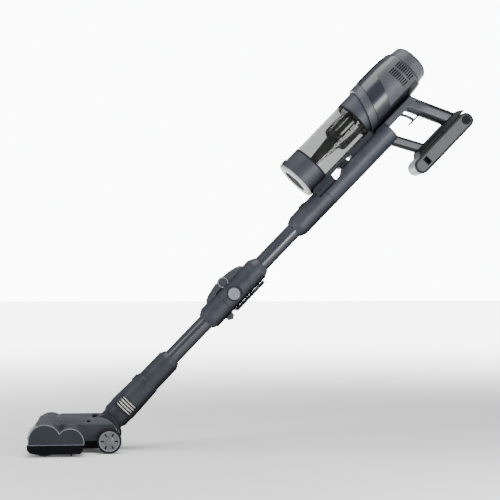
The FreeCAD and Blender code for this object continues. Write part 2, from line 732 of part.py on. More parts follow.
def motor_collar():
    return pipe(900, 990, RING_R, 44, BIN_T).common(seam_slice(GAP, RING_LENGTH - GAP))


def rear_cap():
    outer = [(CAP_S, MOTOR_R - 5), (CAP_S + 2, 44.5), (1100, 41.7), (1106, 35.3), (1110, 19), (TAIL_S, 0)]
    inner = [(TAIL_S - 3, 0), (1107.2, 18), (1103.6, 33.5), (1098, 39), (CAP_S + 2, 41.7), (CAP_S, 42)]
    return turned(outer + inner, MOTOR_T)


def motor_can():
    can = along(985, 1038, MOTOR_CAN_R, MOTOR_T)
    flange = along(985, 988, MOTOR_R - SHELL_WALL - 0.1, MOTOR_T)
    bosses = along(980, 1043, 8, MOTOR_T)
    vents = []
    for i in range(8):
        vent = rod(5, Vector(984, 0, MOTOR_T + 37), Vector(989, 0, MOTOR_T + 37))
        vent.rotate(Vector(0, 0, MOTOR_T), Vector(1, 0, 0), 45 * i)
        vents.append(vent)
    shape = joined(can, flange, bosses).cut(Part.makeCompound(vents))
    return shape.cut(along(979, 1044, SHAFT_R + 0.05, MOTOR_T))


def motor_impeller():
    disc = along(966, 968, 34, MOTOR_T)
    hub = along(964, 978, 9, MOTOR_T)
    blades = []
    for i in range(9):
        blade = block(968, 975, -0.8, 0.8, MOTOR_T + 8, MOTOR_T + 33)
        blade.rotate(Vector(0, 0, MOTOR_T), Vector(1, 0, 0), 40 * i)
        blades.append(blade)
    return joined(disc, hub, along(960, 1045, SHAFT_R, MOTOR_T), *blades)


def exhaust_filter():
    return pipe(1046, 1073, 44, 30, MOTOR_T)


def control_board():
    low = 26.5
    board = centred(992, 1036, 15, low, low + 1.6)
    chips = [block(996 + 12 * i, 1004 + 12 * i, -6, 6, low + 1.6, low + 5 + 2 * (i % 2)) for i in range(3)]
    posts = []
    for s in (995, 1033):
        for y in (-12, 12):
            posts.append(rod(1.5, Vector(s, y, low - 2.5), Vector(s, y, low)))
    return joined(board, *chips, *posts)


# ---- cleaning head, in the floor frame ----


def lobes(grow, y0, y1, floor):
    parts = []
    for x, z, radius in (FRONT_LOBE, REAR_LOBE):
        parts.append(across(x, z, radius + grow, y0, y1))
        parts.append(block(x - radius - grow, x + radius + grow, y0, y1, floor, z))
    return joined(*parts).common(block(-150, 50, y0, y1, floor, 100))


def to_floor(s, t):
    lean = math.radians(WAND_TILT)
    return (s * math.cos(lean) - t * math.sin(lean), s * math.sin(lean) + t * math.cos(lean))


PITCH_X, PITCH_Z = to_floor(NECK_PIVOT, 0)
SLOT_FRONT = PITCH_X - DRUM_R - 1


def head_cover():
    outline = [(-62, PARTING), (-62, 58), (-58, 67), (-50, 71), (40, 71)]
    outline += [(52, 67.5), (62, 60), (69, 49), (71, 38), (71, PARTING)]
    shoulders = [(-BODY_HALF, 0), (-BODY_HALF, 58), (-52, 72), (52, 72), (BODY_HALF, 58), (BODY_HALF, 0)]
    body = plate(outline, -BODY_HALF, BODY_HALF).common(bar(shoulders, -80, 80))
    shape = joined(lobes(0, -COVER_HALF, COVER_HALF, PARTING), body)
    shape = shape.cut(lobes(-COVER_WALL, -COVER_HALF, COVER_HALF, PARTING - 1))
    shape = shape.cut(centred(-48, 12, BODY_HALF - 10, 60, 68))
    for bay in both_sides(block(8, 15, 24, BODY_HALF - 4, PARTING - 1, 66)):
        shape = shape.cut(bay)
    shape = shape.cut(centred(-5, 30, 20, PARTING - 1, 46))
    shape = shape.cut(centred(SLOT_FRONT, 90, SLOT_HALF, 0, 90))
    shape = shape.cut(across(PITCH_X, PITCH_Z, TRUNNION_R + FIT, -TRUNNION_END - 1, TRUNNION_END + 1))
    return shape.cut(across(WHEEL[0], WHEEL[1], AXLE_R + FIT, -80, 80))


def head_base():
    rim = [(-111, PARTING), (-110, 15), (-105, 9), (-91, BASE_BOTTOM)]
    rim += [(-4, BASE_BOTTOM), (1, 10), (5, PARTING)]
    tray = plate(rim, -HEAD_HALF + 1, HEAD_HALF - 1)
    rear = [(4, PARTING), (1, 9), (28, 9), (66, 13), (70, PARTING)]
    tray = joined(tray, plate(rear, -BODY_HALF, BODY_HALF))
    for x, z, radius in (SOFT_ROLLER, BRUSH_ROLLER):
        tray = tray.cut(across(x, z, radius + 1.5, -END_PLATE, END_PLATE))
    tray = tray.cut(centred(-62, -34, END_PLATE, PARTING - 6, PARTING + 1))
    tray = tray.cut(centred(28, 90, SLOT_HALF, 0, 60))
    tray = tray.cut(centred(-5, 18, 20, 14, PARTING + 1))
    tray = tray.cut(block(-105, 0, END_PLATE + PLATE_THICK, COVER_HALF - 1, BASE_BOTTOM + 4, PARTING + 1))
    plates = both_sides(lobes(-COVER_WALL - 0.3, END_PLATE, END_PLATE + PLATE_THICK, PARTING - 8))
    cut_front = centred(-112, -106, HEAD_HALF, 0, 90)
    tray = joined(tray, *[p.cut(cut_front) for p in plates])
    tray = tray.cut(across(SOFT_ROLLER[0], SOFT_ROLLER[1], AXLE_R + FIT, END_PLATE - 1, HEAD_HALF - 6))
    tray = tray.cut(across(BRUSH_ROLLER[0], BRUSH_ROLLER[1], AXLE_R + FIT, -HEAD_HALF + 7, HEAD_HALF - 6))
    return tray.cut(across(WHEEL[0], WHEEL[1], AXLE_R + FIT, -80, 80))


def end_caps():
    cap = lobes(0, COVER_HALF + 0.3, HEAD_HALF, PARTING)
    return Part.makeCompound(both_sides(cap))


def light_bar():
    x, z, radius = FRONT_LOBE
    half = HEAD_HALF - 27
    shape = across(x, z, radius + 3.8, -half, half).cut(across(x, z, radius, -half - 1, half + 1))
    return shape.common(centred(-115, -93, half, 34, 63))


def roller_pulley(roller, radius):
    return across(roller[0], roller[1], radius, BELT_Y[0] + 0.3, BELT_Y[1] - 0.3)


BELT_Y = (HEAD_HALF - 12, HEAD_HALF - 8)
SOFT_PULLEY_R = 10
BRUSH_PULLEY_R = 8
ROLLER_HALF = END_PLATE - 1
MOTOR_BEARING_R = 19
WEB_Y = (-20, -10)


def soft_roller():
    x, z, radius = SOFT_ROLLER
    shape = across(x, z, radius, -ROLLER_HALF, ROLLER_HALF)
    shape = shape.cut(across(x, z, MOTOR_BEARING_R, -ROLLER_HALF, WEB_Y[0]))
    shape = shape.cut(across(x, z, MOTOR_BEARING_R, WEB_Y[1], ROLLER_HALF - 8))
    shape = shape.cut(across(x, z, SHAFT_R + 0.05, WEB_Y[0] - 1, WEB_Y[1] + 1))
    pin = across(x, z, AXLE_R, ROLLER_HALF - 8, BELT_Y[1] + 1)
    return joined(shape, pin, roller_pulley(SOFT_ROLLER, SOFT_PULLEY_R))


def roller_motor():
    x, z, _ = SOFT_ROLLER
    flange = across(x, z, MOTOR_BEARING_R + 1, -END_PLATE, -END_PLATE + 0.7)
    can = across(x, z, 15, -END_PLATE, -34)
    bearing = across(x, z, MOTOR_BEARING_R - FIT, -ROLLER_HALF + 2, -ROLLER_HALF + 10)
    shaft = across(x, z, SHAFT_R, -34, WEB_Y[1] - 1)
    return joined(flange, can, bearing, shaft)


def brush_roller():
    x, z, radius = BRUSH_ROLLER
    shape = across(x, z, 15, -ROLLER_HALF, ROLLER_HALF)
    fins = []
    for i in range(6):
        fin = block(x - 1.5, x + 1.5, -ROLLER_HALF + 1, ROLLER_HALF - 1, z + 14, z + radius)
        fin.rotate(Vector(x, 0, z), Vector(0, 1, 0), 60 * i)
        fins.append(fin)
    pins = across(x, z, AXLE_R, -END_PLATE - PLATE_THICK, BELT_Y[1] + 1)
    return joined(shape, pins, roller_pulley(BRUSH_ROLLER, BRUSH_PULLEY_R), *fins)


def belt_loop(grow, y0, y1):
    # the outline of a belt round both roller pulleys, grown outwards by grow
    (x1, z1, _), (x2, z2, _) = SOFT_ROLLER, BRUSH_ROLLER
    r1, r2 = SOFT_PULLEY_R + grow, BRUSH_PULLEY_R + grow
    lean = math.atan2(z2 - z1, x2 - x1)
    spread = math.acos((r1 - r2) / math.hypot(x2 - x1, z2 - z1))
    corners = []
    for x, z, r, signs in ((x1, z1, r1, (1, -1)), (x2, z2, r2, (-1, 1))):
        for sign in signs:
            angle = lean + sign * spread
            corners.append((x + r * math.cos(angle), z + r * math.sin(angle)))
    return joined(plate(corners, y0, y1), across(x1, z1, r1, y0, y1), across(x2, z2, r2, y0, y1))


def drive_belt():
    inner = belt_loop(0.35, BELT_Y[0] - 1, BELT_Y[1] + 1)
    return belt_loop(1.55, BELT_Y[0], BELT_Y[1]).cut(inner)


def wheel():
    x, z, radius = WHEEL
    rim = radius - 4
    hub = across(x, z, rim, WHEEL_INNER + 1, WHEEL_OUTER)
    for i in range(6):
        slot = block(x - 1, x + 1, WHEEL_OUTER - 2, WHEEL_OUTER + 1, z + 9, z + rim - 4)
        slot.rotate(Vector(x, 0, z), Vector(0, 1, 0), 60 * i + 30)
        hub = hub.cut(slot)
    axle = across(x, z, AXLE_R, 45, WHEEL_INNER + 2)
    return joined(hub, axle)


def tyre():
    x, z, radius = WHEEL
    rim = radius - 4
    shape = across(x, z, radius, WHEEL_INNER, WHEEL_OUTER)
    return shape.cut(across(x, z, rim, WHEEL_INNER - 1, WHEEL_OUTER + 1))


# ---- placing and writing ----

ORIGIN = Vector(to_floor(GRIP_MIDDLE[0] + HAND_SHIFT, GRIP_MIDDLE[1])[0], 0, 0)
ORIGIN.z = to_floor(GRIP_MIDDLE[0] + HAND_SHIFT, GRIP_MIDDLE[1])[1]

NECK_PIECES = [neck_yoke, neck_socket, head_release, neck_bellows]
ELBOW_PIECES = [
    upper_tube, lower_tube, elbow_lower_shell, elbow_upper_shell,
    elbow_pin, elbow_hose, elbow_slider, elbow_latch,
]
HAND_PIECES = [
    wand_collar, wand_release, duct_arm, bin_rail, bin_release, grip_shell, grip_pad, front_strut,
    battery_cradle, handle_screws, trigger, trigger_switch, trigger_spring,
    battery_case, battery_cap, battery_cells, charge_inlet, battery_release,
    bin_wall, bin_front_collar, bin_rear_collar, cyclone_shroud, cyclone_cone, pre_filter,
    bin_lid, lid_latch,
    motor_collar, motor_housing, vent_panels, top_strip, mode_button, rear_cap, motor_can, motor_impeller,
    exhaust_filter, control_board,
]
HEAD_PIECES = [
    head_cover, head_base, end_caps, light_bar, soft_roller, roller_motor, brush_roller, drive_belt,
]


def write(name, shape):
    shape.translate(-ORIGIN)
    shape.exportStep("parts/" + name + ".step")


os.makedirs("parts", exist_ok=True)
for pieces, shift in ((NECK_PIECES, 0), (ELBOW_PIECES, ELBOW_SHIFT), (HAND_PIECES, HAND_SHIFT)):
    for piece in pieces:
        shape = piece()
        shape.translate(Vector(shift, 0, 0))
        shape.rotate(Vector(0, 0, 0), Vector(0, 1, 0), -WAND_TILT)
        write(piece.__name__, shape)
for piece in HEAD_PIECES:
    write(piece.__name__, piece())
for name, piece in (("wheel", wheel), ("tyre", tyre)):
    left, right = both_sides(piece())
    write("left_" + name, left)
    write("right_" + name, right)
print("written", len(os.listdir("parts")), "pieces")
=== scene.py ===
import json
import math

import bpy
from mathutils import Matrix, Vector

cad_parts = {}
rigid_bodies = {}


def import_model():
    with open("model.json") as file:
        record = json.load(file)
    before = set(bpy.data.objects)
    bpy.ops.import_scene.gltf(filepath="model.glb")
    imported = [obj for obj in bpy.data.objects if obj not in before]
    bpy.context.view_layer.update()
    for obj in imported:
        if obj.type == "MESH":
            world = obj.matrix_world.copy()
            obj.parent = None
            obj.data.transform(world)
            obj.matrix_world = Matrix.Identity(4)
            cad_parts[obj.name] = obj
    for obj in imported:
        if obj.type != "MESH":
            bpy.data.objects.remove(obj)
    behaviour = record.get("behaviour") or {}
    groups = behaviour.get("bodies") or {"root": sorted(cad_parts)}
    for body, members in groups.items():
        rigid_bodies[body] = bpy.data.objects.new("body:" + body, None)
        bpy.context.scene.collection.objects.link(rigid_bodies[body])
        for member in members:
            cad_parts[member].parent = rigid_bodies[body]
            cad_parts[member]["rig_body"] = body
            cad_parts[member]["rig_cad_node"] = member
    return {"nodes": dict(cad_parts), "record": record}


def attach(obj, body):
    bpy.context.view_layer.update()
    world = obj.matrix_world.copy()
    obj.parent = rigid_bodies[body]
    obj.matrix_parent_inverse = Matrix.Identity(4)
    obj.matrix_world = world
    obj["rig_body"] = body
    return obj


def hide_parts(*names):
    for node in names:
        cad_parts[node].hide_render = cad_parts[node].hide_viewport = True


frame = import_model()
for stray in ("Cube", "Light", "Camera"):
    if stray in bpy.data.objects and stray not in frame["nodes"]:
        bpy.data.objects.remove(bpy.data.objects[stray])
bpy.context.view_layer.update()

# two ways to measure, both in millimetres:
# along the wand: x up the wand, y across, z square to it; these pieces are turned into place
# on the floor: x from the nozzle to the user, y across, z up
mm = 0.001
wandLean = math.radians(46)
gripPlace = Vector((752.64, 0, 731.88)) * mm  # the origin, seen from where the wand's axis meets the floor
floorPlace = Matrix.Translation(-gripPlace)
wandPlace = floorPlace @ Matrix.Rotation(-wandLean, 4, "Y")
print("stage: frame loaded,", len(frame["nodes"]), "nodes")

# materials

# metal and coat are nought where a finish doesn't give them
finishes = {
    "slate_plastic": {"dark": (0.017, 0.020, 0.026), "light": (0.030, 0.034, 0.043), "rough": 0.42,
                      "grain": 1500, "bump": 0.05, "gloss": 0.22},
    "head_slate": {"dark": (0.024, 0.027, 0.034), "light": (0.038, 0.042, 0.052), "rough": 0.4,
                   "grain": 1500, "bump": 0.04, "gloss": 0.2},
    "cap_slate": {"dark": (0.019, 0.022, 0.028), "light": (0.027, 0.031, 0.038), "rough": 0.5,
                  "grain": 1300, "bump": 0.1, "gloss": 0.15},
    # lighter slate that paints a highlight on bevelled edges and rims
    "slate_edge_highlight": {"dark": (0.12, 0.13, 0.15), "light": (0.17, 0.18, 0.20), "rough": 0.3, "metal": 0.1,
                   "grain": 1500, "bump": 0.04, "coat": 0.1, "gloss": 0.5},
    "dark_plastic": {"dark": (0.004, 0.0045, 0.0055), "light": (0.009, 0.0095, 0.011), "rough": 0.5,
                     "grain": 1100, "bump": 0.18, "gloss": 0.12},
    "base_black": {"dark": (0.002, 0.002, 0.003), "light": (0.004, 0.004, 0.005), "rough": 0.55,
                   "grain": 1100, "bump": 0.15, "gloss": 0.06},
    "gloss_black": {"dark": (0.010, 0.011, 0.016), "light": (0.016, 0.018, 0.025), "rough": 0.22,
                    "grain": 500, "bump": 0.015, "gloss": 0.4},
    "strip_black": {"dark": (0.003, 0.003, 0.004), "light": (0.006, 0.006, 0.007), "rough": 0.5,
                    "grain": 900, "bump": 0.03, "gloss": 0.04},
    "light_plastic": {"dark": (0.21, 0.22, 0.235), "light": (0.28, 0.29, 0.31), "rough": 0.36,
                      "grain": 1500, "bump": 0.06, "gloss": 0.3},
    "ring_plastic": {"dark": (0.026, 0.029, 0.035), "light": (0.040, 0.044, 0.052), "rough": 0.34,
                     "grain": 1500, "bump": 0.05, "gloss": 0.25},
    "panel_plastic": {"dark": (0.028, 0.030, 0.035), "light": (0.042, 0.045, 0.052), "rough": 0.42,
                      "grain": 1300, "bump": 0.09, "gloss": 0.2},
    "cap_panel": {"dark": (0.026, 0.028, 0.031), "light": (0.040, 0.043, 0.046), "rough": 0.42,
                  "grain": 1300, "bump": 0.09, "gloss": 0.2},
    "tube_metal": {"dark": (0.018, 0.021, 0.027), "light": (0.027, 0.031, 0.039), "rough": 0.2,
                   "grain": 900, "bump": 0.02, "gloss": 0.55},
    "silver_plastic": {"dark": (0.13, 0.135, 0.16), "light": (0.18, 0.187, 0.22), "rough": 0.32,
                       "grain": 1500, "bump": 0.05, "gloss": 0.3},
    "wheel_silver": {"dark": (0.085, 0.087, 0.09), "light": (0.13, 0.132, 0.135), "rough": 0.27,
                     "metal": 0.2, "grain": 1500, "bump": 0.04, "gloss": 0.4},
    "rib_silver": {"dark": (0.46, 0.45, 0.43), "light": (0.60, 0.59, 0.57), "rough": 0.35, "metal": 0.2,
                   "grain": 1200, "bump": 0.06, "gloss": 0.5},
    "steel": {"dark": (0.42, 0.42, 0.43), "light": (0.55, 0.55, 0.56), "rough": 0.3, "metal": 1.0,
              "grain": 900, "bump": 0.05, "gloss": 0.5},
    "rubber": {"dark": (0.004, 0.004, 0.005), "light": (0.008, 0.008, 0.009), "rough": 0.62,
               "grain": 1600, "bump": 0.25, "gloss": 0.08},
    "tyre": {"dark": (0.005, 0.005, 0.006), "light": (0.010, 0.010, 0.010), "rough": 0.58,
             "grain": 1200, "bump": 0.25, "gloss": 0.1},
    "filter_media": {"dark": (0.55, 0.55, 0.52), "light": (0.72, 0.72, 0.69), "rough": 0.85,
                     "grain": 700, "bump": 0.5, "gloss": 0.3},
    "pile": {"dark": (0.035, 0.037, 0.042), "light": (0.085, 0.09, 0.10), "rough": 0.9,
             "grain": 900, "bump": 0.8, "gloss": 0.1},
    "bristle": {"dark": (0.02, 0.021, 0.024), "light": (0.05, 0.052, 0.058), "rough": 0.6,
                "grain": 1500, "bump": 0.2, "gloss": 0.3},
    "cyclone_dark": {"dark": (0.006, 0.0065, 0.006), "light": (0.012, 0.013, 0.012), "rough": 0.7,
                     "grain": 900, "bump": 0.05, "gloss": 0.04},
    "cell_sleeve": {"dark": (0.02, 0.13, 0.06), "light": (0.03, 0.19, 0.09), "rough": 0.3, "metal": 0.1,
                    "grain": 900, "bump": 0.03, "coat": 0.3, "gloss": 0.5},
    "board_green": {"dark": (0.01, 0.07, 0.03), "light": (0.02, 0.11, 0.05), "rough": 0.4,
                    "grain": 700, "bump": 0.1, "coat": 0.2, "gloss": 0.5},
}


def plainMaterial(name):
    material = bpy.data.materials.new(name)
    material.use_nodes = True
    return material, material.node_tree.nodes, material.node_tree.links


def addNode(nodes, kind, values=(), **settings):
    node = nodes.new(kind)
    for key, value in settings.items():
        setattr(node, key, value)
    for socket, value in values:
        node.inputs[socket].default_value = value
    return node


def nodeOf(nodes, kind):
    return next(node for node in nodes if node.type == kind)


def mouldedFinish(name, look):
    # cloudy colour, uneven polish and a fine moulded grain, all from noise
    material, nodes, links = plainMaterial(name)
    shader = nodes["Principled BSDF"]
    place = addNode(nodes, "ShaderNodeTexCoord")
    cloud = addNode(nodes, "ShaderNodeTexNoise", [("Scale", 22), ("Detail", 5), ("Roughness", 0.6)])
    tint = addNode(nodes, "ShaderNodeValToRGB")
    tint.color_ramp.elements[0].position = 0.32
    tint.color_ramp.elements[0].color = look["dark"] + (1,)
    tint.color_ramp.elements[1].position = 0.68
    tint.color_ramp.elements[1].color = look["light"] + (1,)
    polish = addNode(nodes, "ShaderNodeTexNoise", [("Scale", 140), ("Detail", 3)])
    rough = addNode(nodes, "ShaderNodeMapRange", [("To Min", look["rough"] - 0.05),
                                                  ("To Max", look["rough"] + 0.06)])
    grain = addNode(nodes, "ShaderNodeTexNoise", [("Scale", look["grain"]), ("Detail", 2)])
    relief = addNode(nodes, "ShaderNodeBump", [("Strength", look["bump"]), ("Distance", 0.0004)])
    for texture in (cloud, polish, grain):
        links.new(place.outputs["Object"], texture.inputs["Vector"])
    links.new(cloud.outputs["Fac"], tint.inputs["Fac"])
    links.new(tint.outputs["Color"], shader.inputs["Base Color"])
    links.new(polish.outputs["Fac"], rough.inputs["Value"])
    links.new(rough.outputs["Result"], shader.inputs["Roughness"])
    links.new(grain.outputs["Fac"], relief.inputs["Height"])
    links.new(relief.outputs["Normal"], shader.inputs["Normal"])
    shader.inputs["Metallic"].default_value = look.get("metal", 0)
    shader.inputs["Coat Weight"].default_value = look.get("coat", 0)
    shader.inputs["Coat Roughness"].default_value = 0.12
    shader.inputs["Specular IOR Level"].default_value = look["gloss"]
    return material


# painted shade: surfaces that face down from the wand turn duller and darker, between these two slopes
squareUp = Vector((-math.sin(wandLean), 0, math.cos(wandLean)))
paintedShade = {"finishes": ("slate_plastic", "tube_metal", "gloss_black", "ring_plastic"),
             "from": 0.42, "to": 0.86, "left": 0.04}


def shadeGlossBelow(material):
    # painted shade on the gloss, less of it where the surface faces down from the wand; gives back the node
    # that says how much of the light is left
    nodes, links = material.node_tree.nodes, material.node_tree.links
    gloss = nodes["Principled BSDF"].inputs["Specular IOR Level"]
    facing = addNode(nodes, "ShaderNodeVectorMath", [(1, -squareUp)], operation="DOT_PRODUCT")
    lit = addNode(nodes, "ShaderNodeMapRange", [("From Min", paintedShade["from"]), ("To Min", 1),
                                                ("From Max", paintedShade["to"]),
                                                ("To Max", paintedShade["left"])])
    sheen = addNode(nodes, "ShaderNodeMath", [(1, gloss.default_value)], operation="MULTIPLY")
    links.new(nodeOf(nodes, "TEX_COORD").outputs["Normal"], facing.inputs[0])
    links.new(facing.outputs["Value"], lit.inputs["Value"])
    links.new(lit.outputs["Result"], sheen.inputs[0])
    links.new(sheen.outputs[0], gloss)
    return lit


# painted shade: the colour darkens where the surface faces down from the wand
def paintShadeBelow(material):
    lit = shadeGlossBelow(material)
    nodes, links = material.node_tree.nodes, material.node_tree.links
    shadedTint = addNode(nodes, "ShaderNodeVectorMath", operation="SCALE")
    links.new(nodeOf(nodes, "VALTORGB").outputs["Color"], shadedTint.inputs[0])
    links.new(lit.outputs["Result"], shadedTint.inputs["Scale"])
    links.new(shadedTint.outputs["Vector"], nodes["Principled BSDF"].inputs["Base Color"])


def clearFinish(name, tint, rough, ior):
    # smoky clear plastic with faint moulding streaks
    material, nodes, links = plainMaterial(name)
    shader = nodes["Principled BSDF"]
    place = addNode(nodes, "ShaderNodeTexCoord")
    streak = addNode(nodes, "ShaderNodeTexNoise", [("Scale", 30), ("Detail", 3)])
    shade = addNode(nodes, "ShaderNodeValToRGB")
    shade.color_ramp.elements[0].color = tuple(c * 0.94 for c in tint) + (1,)
    shade.color_ramp.elements[1].color = tint + (1,)
    relief = addNode(nodes, "ShaderNodeBump", [("Strength", 0.02), ("Distance", 0.0005)])
    links.new(place.outputs["Object"], streak.inputs["Vector"])
    links.new(streak.outputs["Fac"], shade.inputs["Fac"])
    links.new(shade.outputs["Color"], shader.inputs["Base Color"])
    links.new(streak.outputs["Fac"], relief.inputs["Height"])
    links.new(relief.outputs["Normal"], shader.inputs["Normal"])
    shader.inputs["Roughness"].default_value = rough
    shader.inputs["IOR"].default_value = ior
    shader.inputs["Transmission Weight"].default_value = 1.0
    # light reaches the pieces behind it straight through
    path = addNode(nodes, "ShaderNodeLightPath")
    clear = addNode(nodes, "ShaderNodeBsdfTransparent", [("Color", tint + (1,))])
    either = addNode(nodes, "ShaderNodeMixShader")
    links.new(path.outputs["Is Shadow Ray"], either.inputs["Fac"])
    links.new(shader.outputs["BSDF"], either.inputs[1])
    links.new(clear.outputs["BSDF"], either.inputs[2])
    links.new(either.outputs["Shader"], nodes["Material Output"].inputs["Surface"])
    return material


finish = {name: mouldedFinish(name, look) for name, look in finishes.items()}
# these finishes get painted shade where they face down from the wand
for name in paintedShade["finishes"]:
    paintShadeBelow(finish[name])
finish["clear_plastic"] = clearFinish("clear_plastic", (0.80, 0.80, 0.79), 0.03, 1.22)
finish["lens"] = clearFinish("lens", (0.86, 0.88, 0.90), 0.06, 1.35)


def paintShadeBands(name, base, edge, look):
    # below a height square to the wand, flat side faces turn lighter and the rest takes the edge's
    # near-black colour, which is partly a dark overmould and partly painted shade; the gloss there gets
    # painted shade too
    material = mouldedFinish(name, finishes[base])
    shadeGlossBelow(material)
    nodes, links = material.node_tree.nodes, material.node_tree.links
    place = nodeOf(nodes, "TEX_COORD")
    tint = nodeOf(nodes, "VALTORGB")
    split = addNode(nodes, "ShaderNodeSeparateXYZ")
    links.new(place.outputs["Normal"], split.inputs["Vector"])
    size = addNode(nodes, "ShaderNodeMath", operation="ABSOLUTE")
    links.new(split.outputs["Y"], size.inputs[0])
    facing = addNode(nodes, "ShaderNodeMapRange", [("From Min", look["edge"]), ("From Max", look["flat"])])
    links.new(size.outputs[0], facing.inputs["Value"])
    height = addNode(nodes, "ShaderNodeVectorMath", [(1, look["square"])], operation="DOT_PRODUCT")
    links.new(place.outputs["Object"], height.inputs[0])
    under = addNode(nodes, "ShaderNodeMapRange", [("From Min", look["from"]), ("From Max", look["to"])])
    links.new(height.outputs["Value"], under.inputs["Value"])
    bar = addNode(nodes, "ShaderNodeMix", data_type="RGBA")
    bar.inputs[6].default_value = finishes[edge]["light"] + (1,)
    bar.inputs[7].default_value = look["face"] + (1,)
    links.new(facing.outputs["Result"], bar.inputs["Factor"])
    blend = addNode(nodes, "ShaderNodeMix", data_type="RGBA")
    links.new(under.outputs["Result"], blend.inputs["Factor"])
    links.new(tint.outputs["Color"], blend.inputs[6])
    links.new(bar.outputs[2], blend.inputs[7])
    links.new(blend.outputs[2], nodes["Principled BSDF"].inputs["Base Color"])
    return material


wandHeightAtGrip = -33 * mm
handleShadeBand = {"square": squareUp, "edge": 0.93, "flat": 0.985, "face": (0.050, 0.053, 0.063),
              "from": -14 * mm - wandHeightAtGrip, "to": -26 * mm - wandHeightAtGrip}
# the handle's lower band carries painted shade, partly standing for a dark overmould on the grip
finish["handle_slate_painted_shade"] = paintShadeBands("handle_slate_painted_shade", "slate_plastic", "base_black", handleShadeBand)
print("stage: finishes ready,", len(finish))

# tools for modelling


def pick(piece):
    bpy.ops.object.select_all(action="DESELECT")
    piece.hide_set(False)
    piece.select_set(True)
    bpy.context.view_layer.objects.active = piece


def applyAll(piece):
    pick(piece)
    for modifier in list(piece.modifiers):
        bpy.ops.object.modifier_apply(modifier=modifier.name)


def settle(piece, place=None):
    # bakes the piece's own place into its mesh, then turns it into the object's place
    pick(piece)
    bpy.ops.object.transform_apply(location=True, rotation=True, scale=True)
    if place is not None:
        piece.matrix_world = place
        bpy.ops.object.transform_apply(location=True, rotation=True, scale=True)


def traceLine(name, points):
    bpy.ops.object.select_all(action="DESELECT")
    bpy.ops.mesh.primitive_plane_add(size=mm, enter_editmode=True, location=(0, 0, 0))
    bpy.ops.mesh.merge(type="CENTER")
    places = [Vector(point) * mm for point in points]
    bpy.ops.transform.translate(value=places[0])
    for here, there in zip(places, places[1:]):
        bpy.ops.mesh.extrude_region_move(TRANSFORM_OT_translate={"value": there - here})
    bpy.ops.mesh.select_all(action="SELECT")
    piece = bpy.context.active_object
    piece.name = name
    return piece


def tidyMesh():
    bpy.ops.mesh.select_all(action="SELECT")
    bpy.ops.mesh.remove_doubles(threshold=1e-6)
    bpy.ops.mesh.normals_make_consistent(inside=False)
    bpy.ops.object.mode_set(mode="OBJECT")


def latheAlong(name, profile, height=0, steps=96):
    # profile is (along, radius) about an axis that lies along x at that height
    closed = list(profile) + [profile[0]]
    piece = traceLine(name, [(s, 0, height + r) for s, r in closed])
    bpy.ops.mesh.spin(steps=steps, angle=2 * math.pi, center=(0, 0, height * mm), axis=(1, 0, 0))
    tidyMesh()
    return piece


def latheAcross(name, profile, middle, steps=72):
    # profile is (across, radius) about an axis that lies along y through middle
    closed = list(profile) + [profile[0]]
    piece = traceLine(name, [(middle[0], y, middle[1] + r) for y, r in closed])
    bpy.ops.mesh.spin(steps=steps, angle=2 * math.pi, center=(middle[0] * mm, 0, middle[1] * mm),
                      axis=(0, 1, 0))
    tidyMesh()
    return piece


def slab(name, outline, y0, y1):
    # a flat outline in x and z, pulled across from y0 to y1
    closed = list(outline) + [outline[0]]
    piece = traceLine(name, [(x, y0, z) for x, z in closed])
    bpy.ops.mesh.remove_doubles(threshold=1e-6)
    bpy.ops.mesh.select_all(action="SELECT")
    bpy.ops.mesh.edge_face_add()
    bpy.ops.mesh.extrude_region_move(TRANSFORM_OT_translate={"value": (0, (y1 - y0) * mm, 0)})
    tidyMesh()
    return piece


def brick(name, low, high):
    low, high = Vector(low) * mm, Vector(high) * mm
    bpy.ops.object.select_all(action="DESELECT")
    bpy.ops.mesh.primitive_cube_add(size=1, location=(low + high) / 2, scale=high - low)
    piece = bpy.context.active_object
    piece.name = name
    settle(piece)
    return piece


def drum(name, middle, radius, y0, y1, sides=64):
    bpy.ops.object.select_all(action="DESELECT")
    bpy.ops.mesh.primitive_cylinder_add(vertices=sides, radius=radius * mm, depth=(y1 - y0) * mm,
                                        location=(middle[0] * mm, (y0 + y1) / 2 * mm, middle[1] * mm),
                                        rotation=(math.pi / 2, 0, 0))
    piece = bpy.context.active_object
    piece.name = name
    settle(piece)
    return piece


def combine(piece, tool, way="DIFFERENCE"):
    modifier = piece.modifiers.new(way.lower(), "BOOLEAN")
    modifier.object = tool
    modifier.operation = way
    modifier.solver = "EXACT"
    applyAll(piece)
    bpy.data.objects.remove(tool)
    return piece


def repeat(piece, count, step):
    modifier = piece.modifiers.new("row", "ARRAY")
    modifier.count = count
    modifier.use_relative_offset = False
    modifier.use_constant_offset = True
    modifier.constant_offset_displace = Vector(step) * mm
    applyAll(piece)
    return piece


def joinInto(piece, *others):
    pick(piece)
    for other in others:
        other.select_set(True)
    bpy.ops.object.join()
    return piece


def cutPlane(piece, point, normal):
    # throws away what lies on the normal's side of the plane
    pick(piece)
    bpy.ops.object.mode_set(mode="EDIT")
    bpy.ops.mesh.select_all(action="SELECT")
    bpy.ops.mesh.bisect(plane_co=Vector(point) * mm, plane_no=Vector(normal).normalized(),
                        use_fill=True, clear_outer=True)
    tidyMesh()
    return piece


def softEdges(piece, width, segments=2, angle=35, faceSlot=-1):
    modifier = piece.modifiers.new("edges", "BEVEL")
    modifier.width = width * mm
    modifier.segments = segments
    modifier.limit_method = "ANGLE"
    modifier.angle_limit = math.radians(angle)
    modifier.use_clamp_overlap = False
    modifier.material = faceSlot
    applyAll(piece)
    return piece


def shadeBy(piece, angle=32):
    pick(piece)
    bpy.ops.object.shade_smooth_by_angle(angle=math.radians(angle))
    piece.modifiers.new("evenNormals", "WEIGHTED_NORMAL").keep_sharp = True
    applyAll(piece)
    return piece


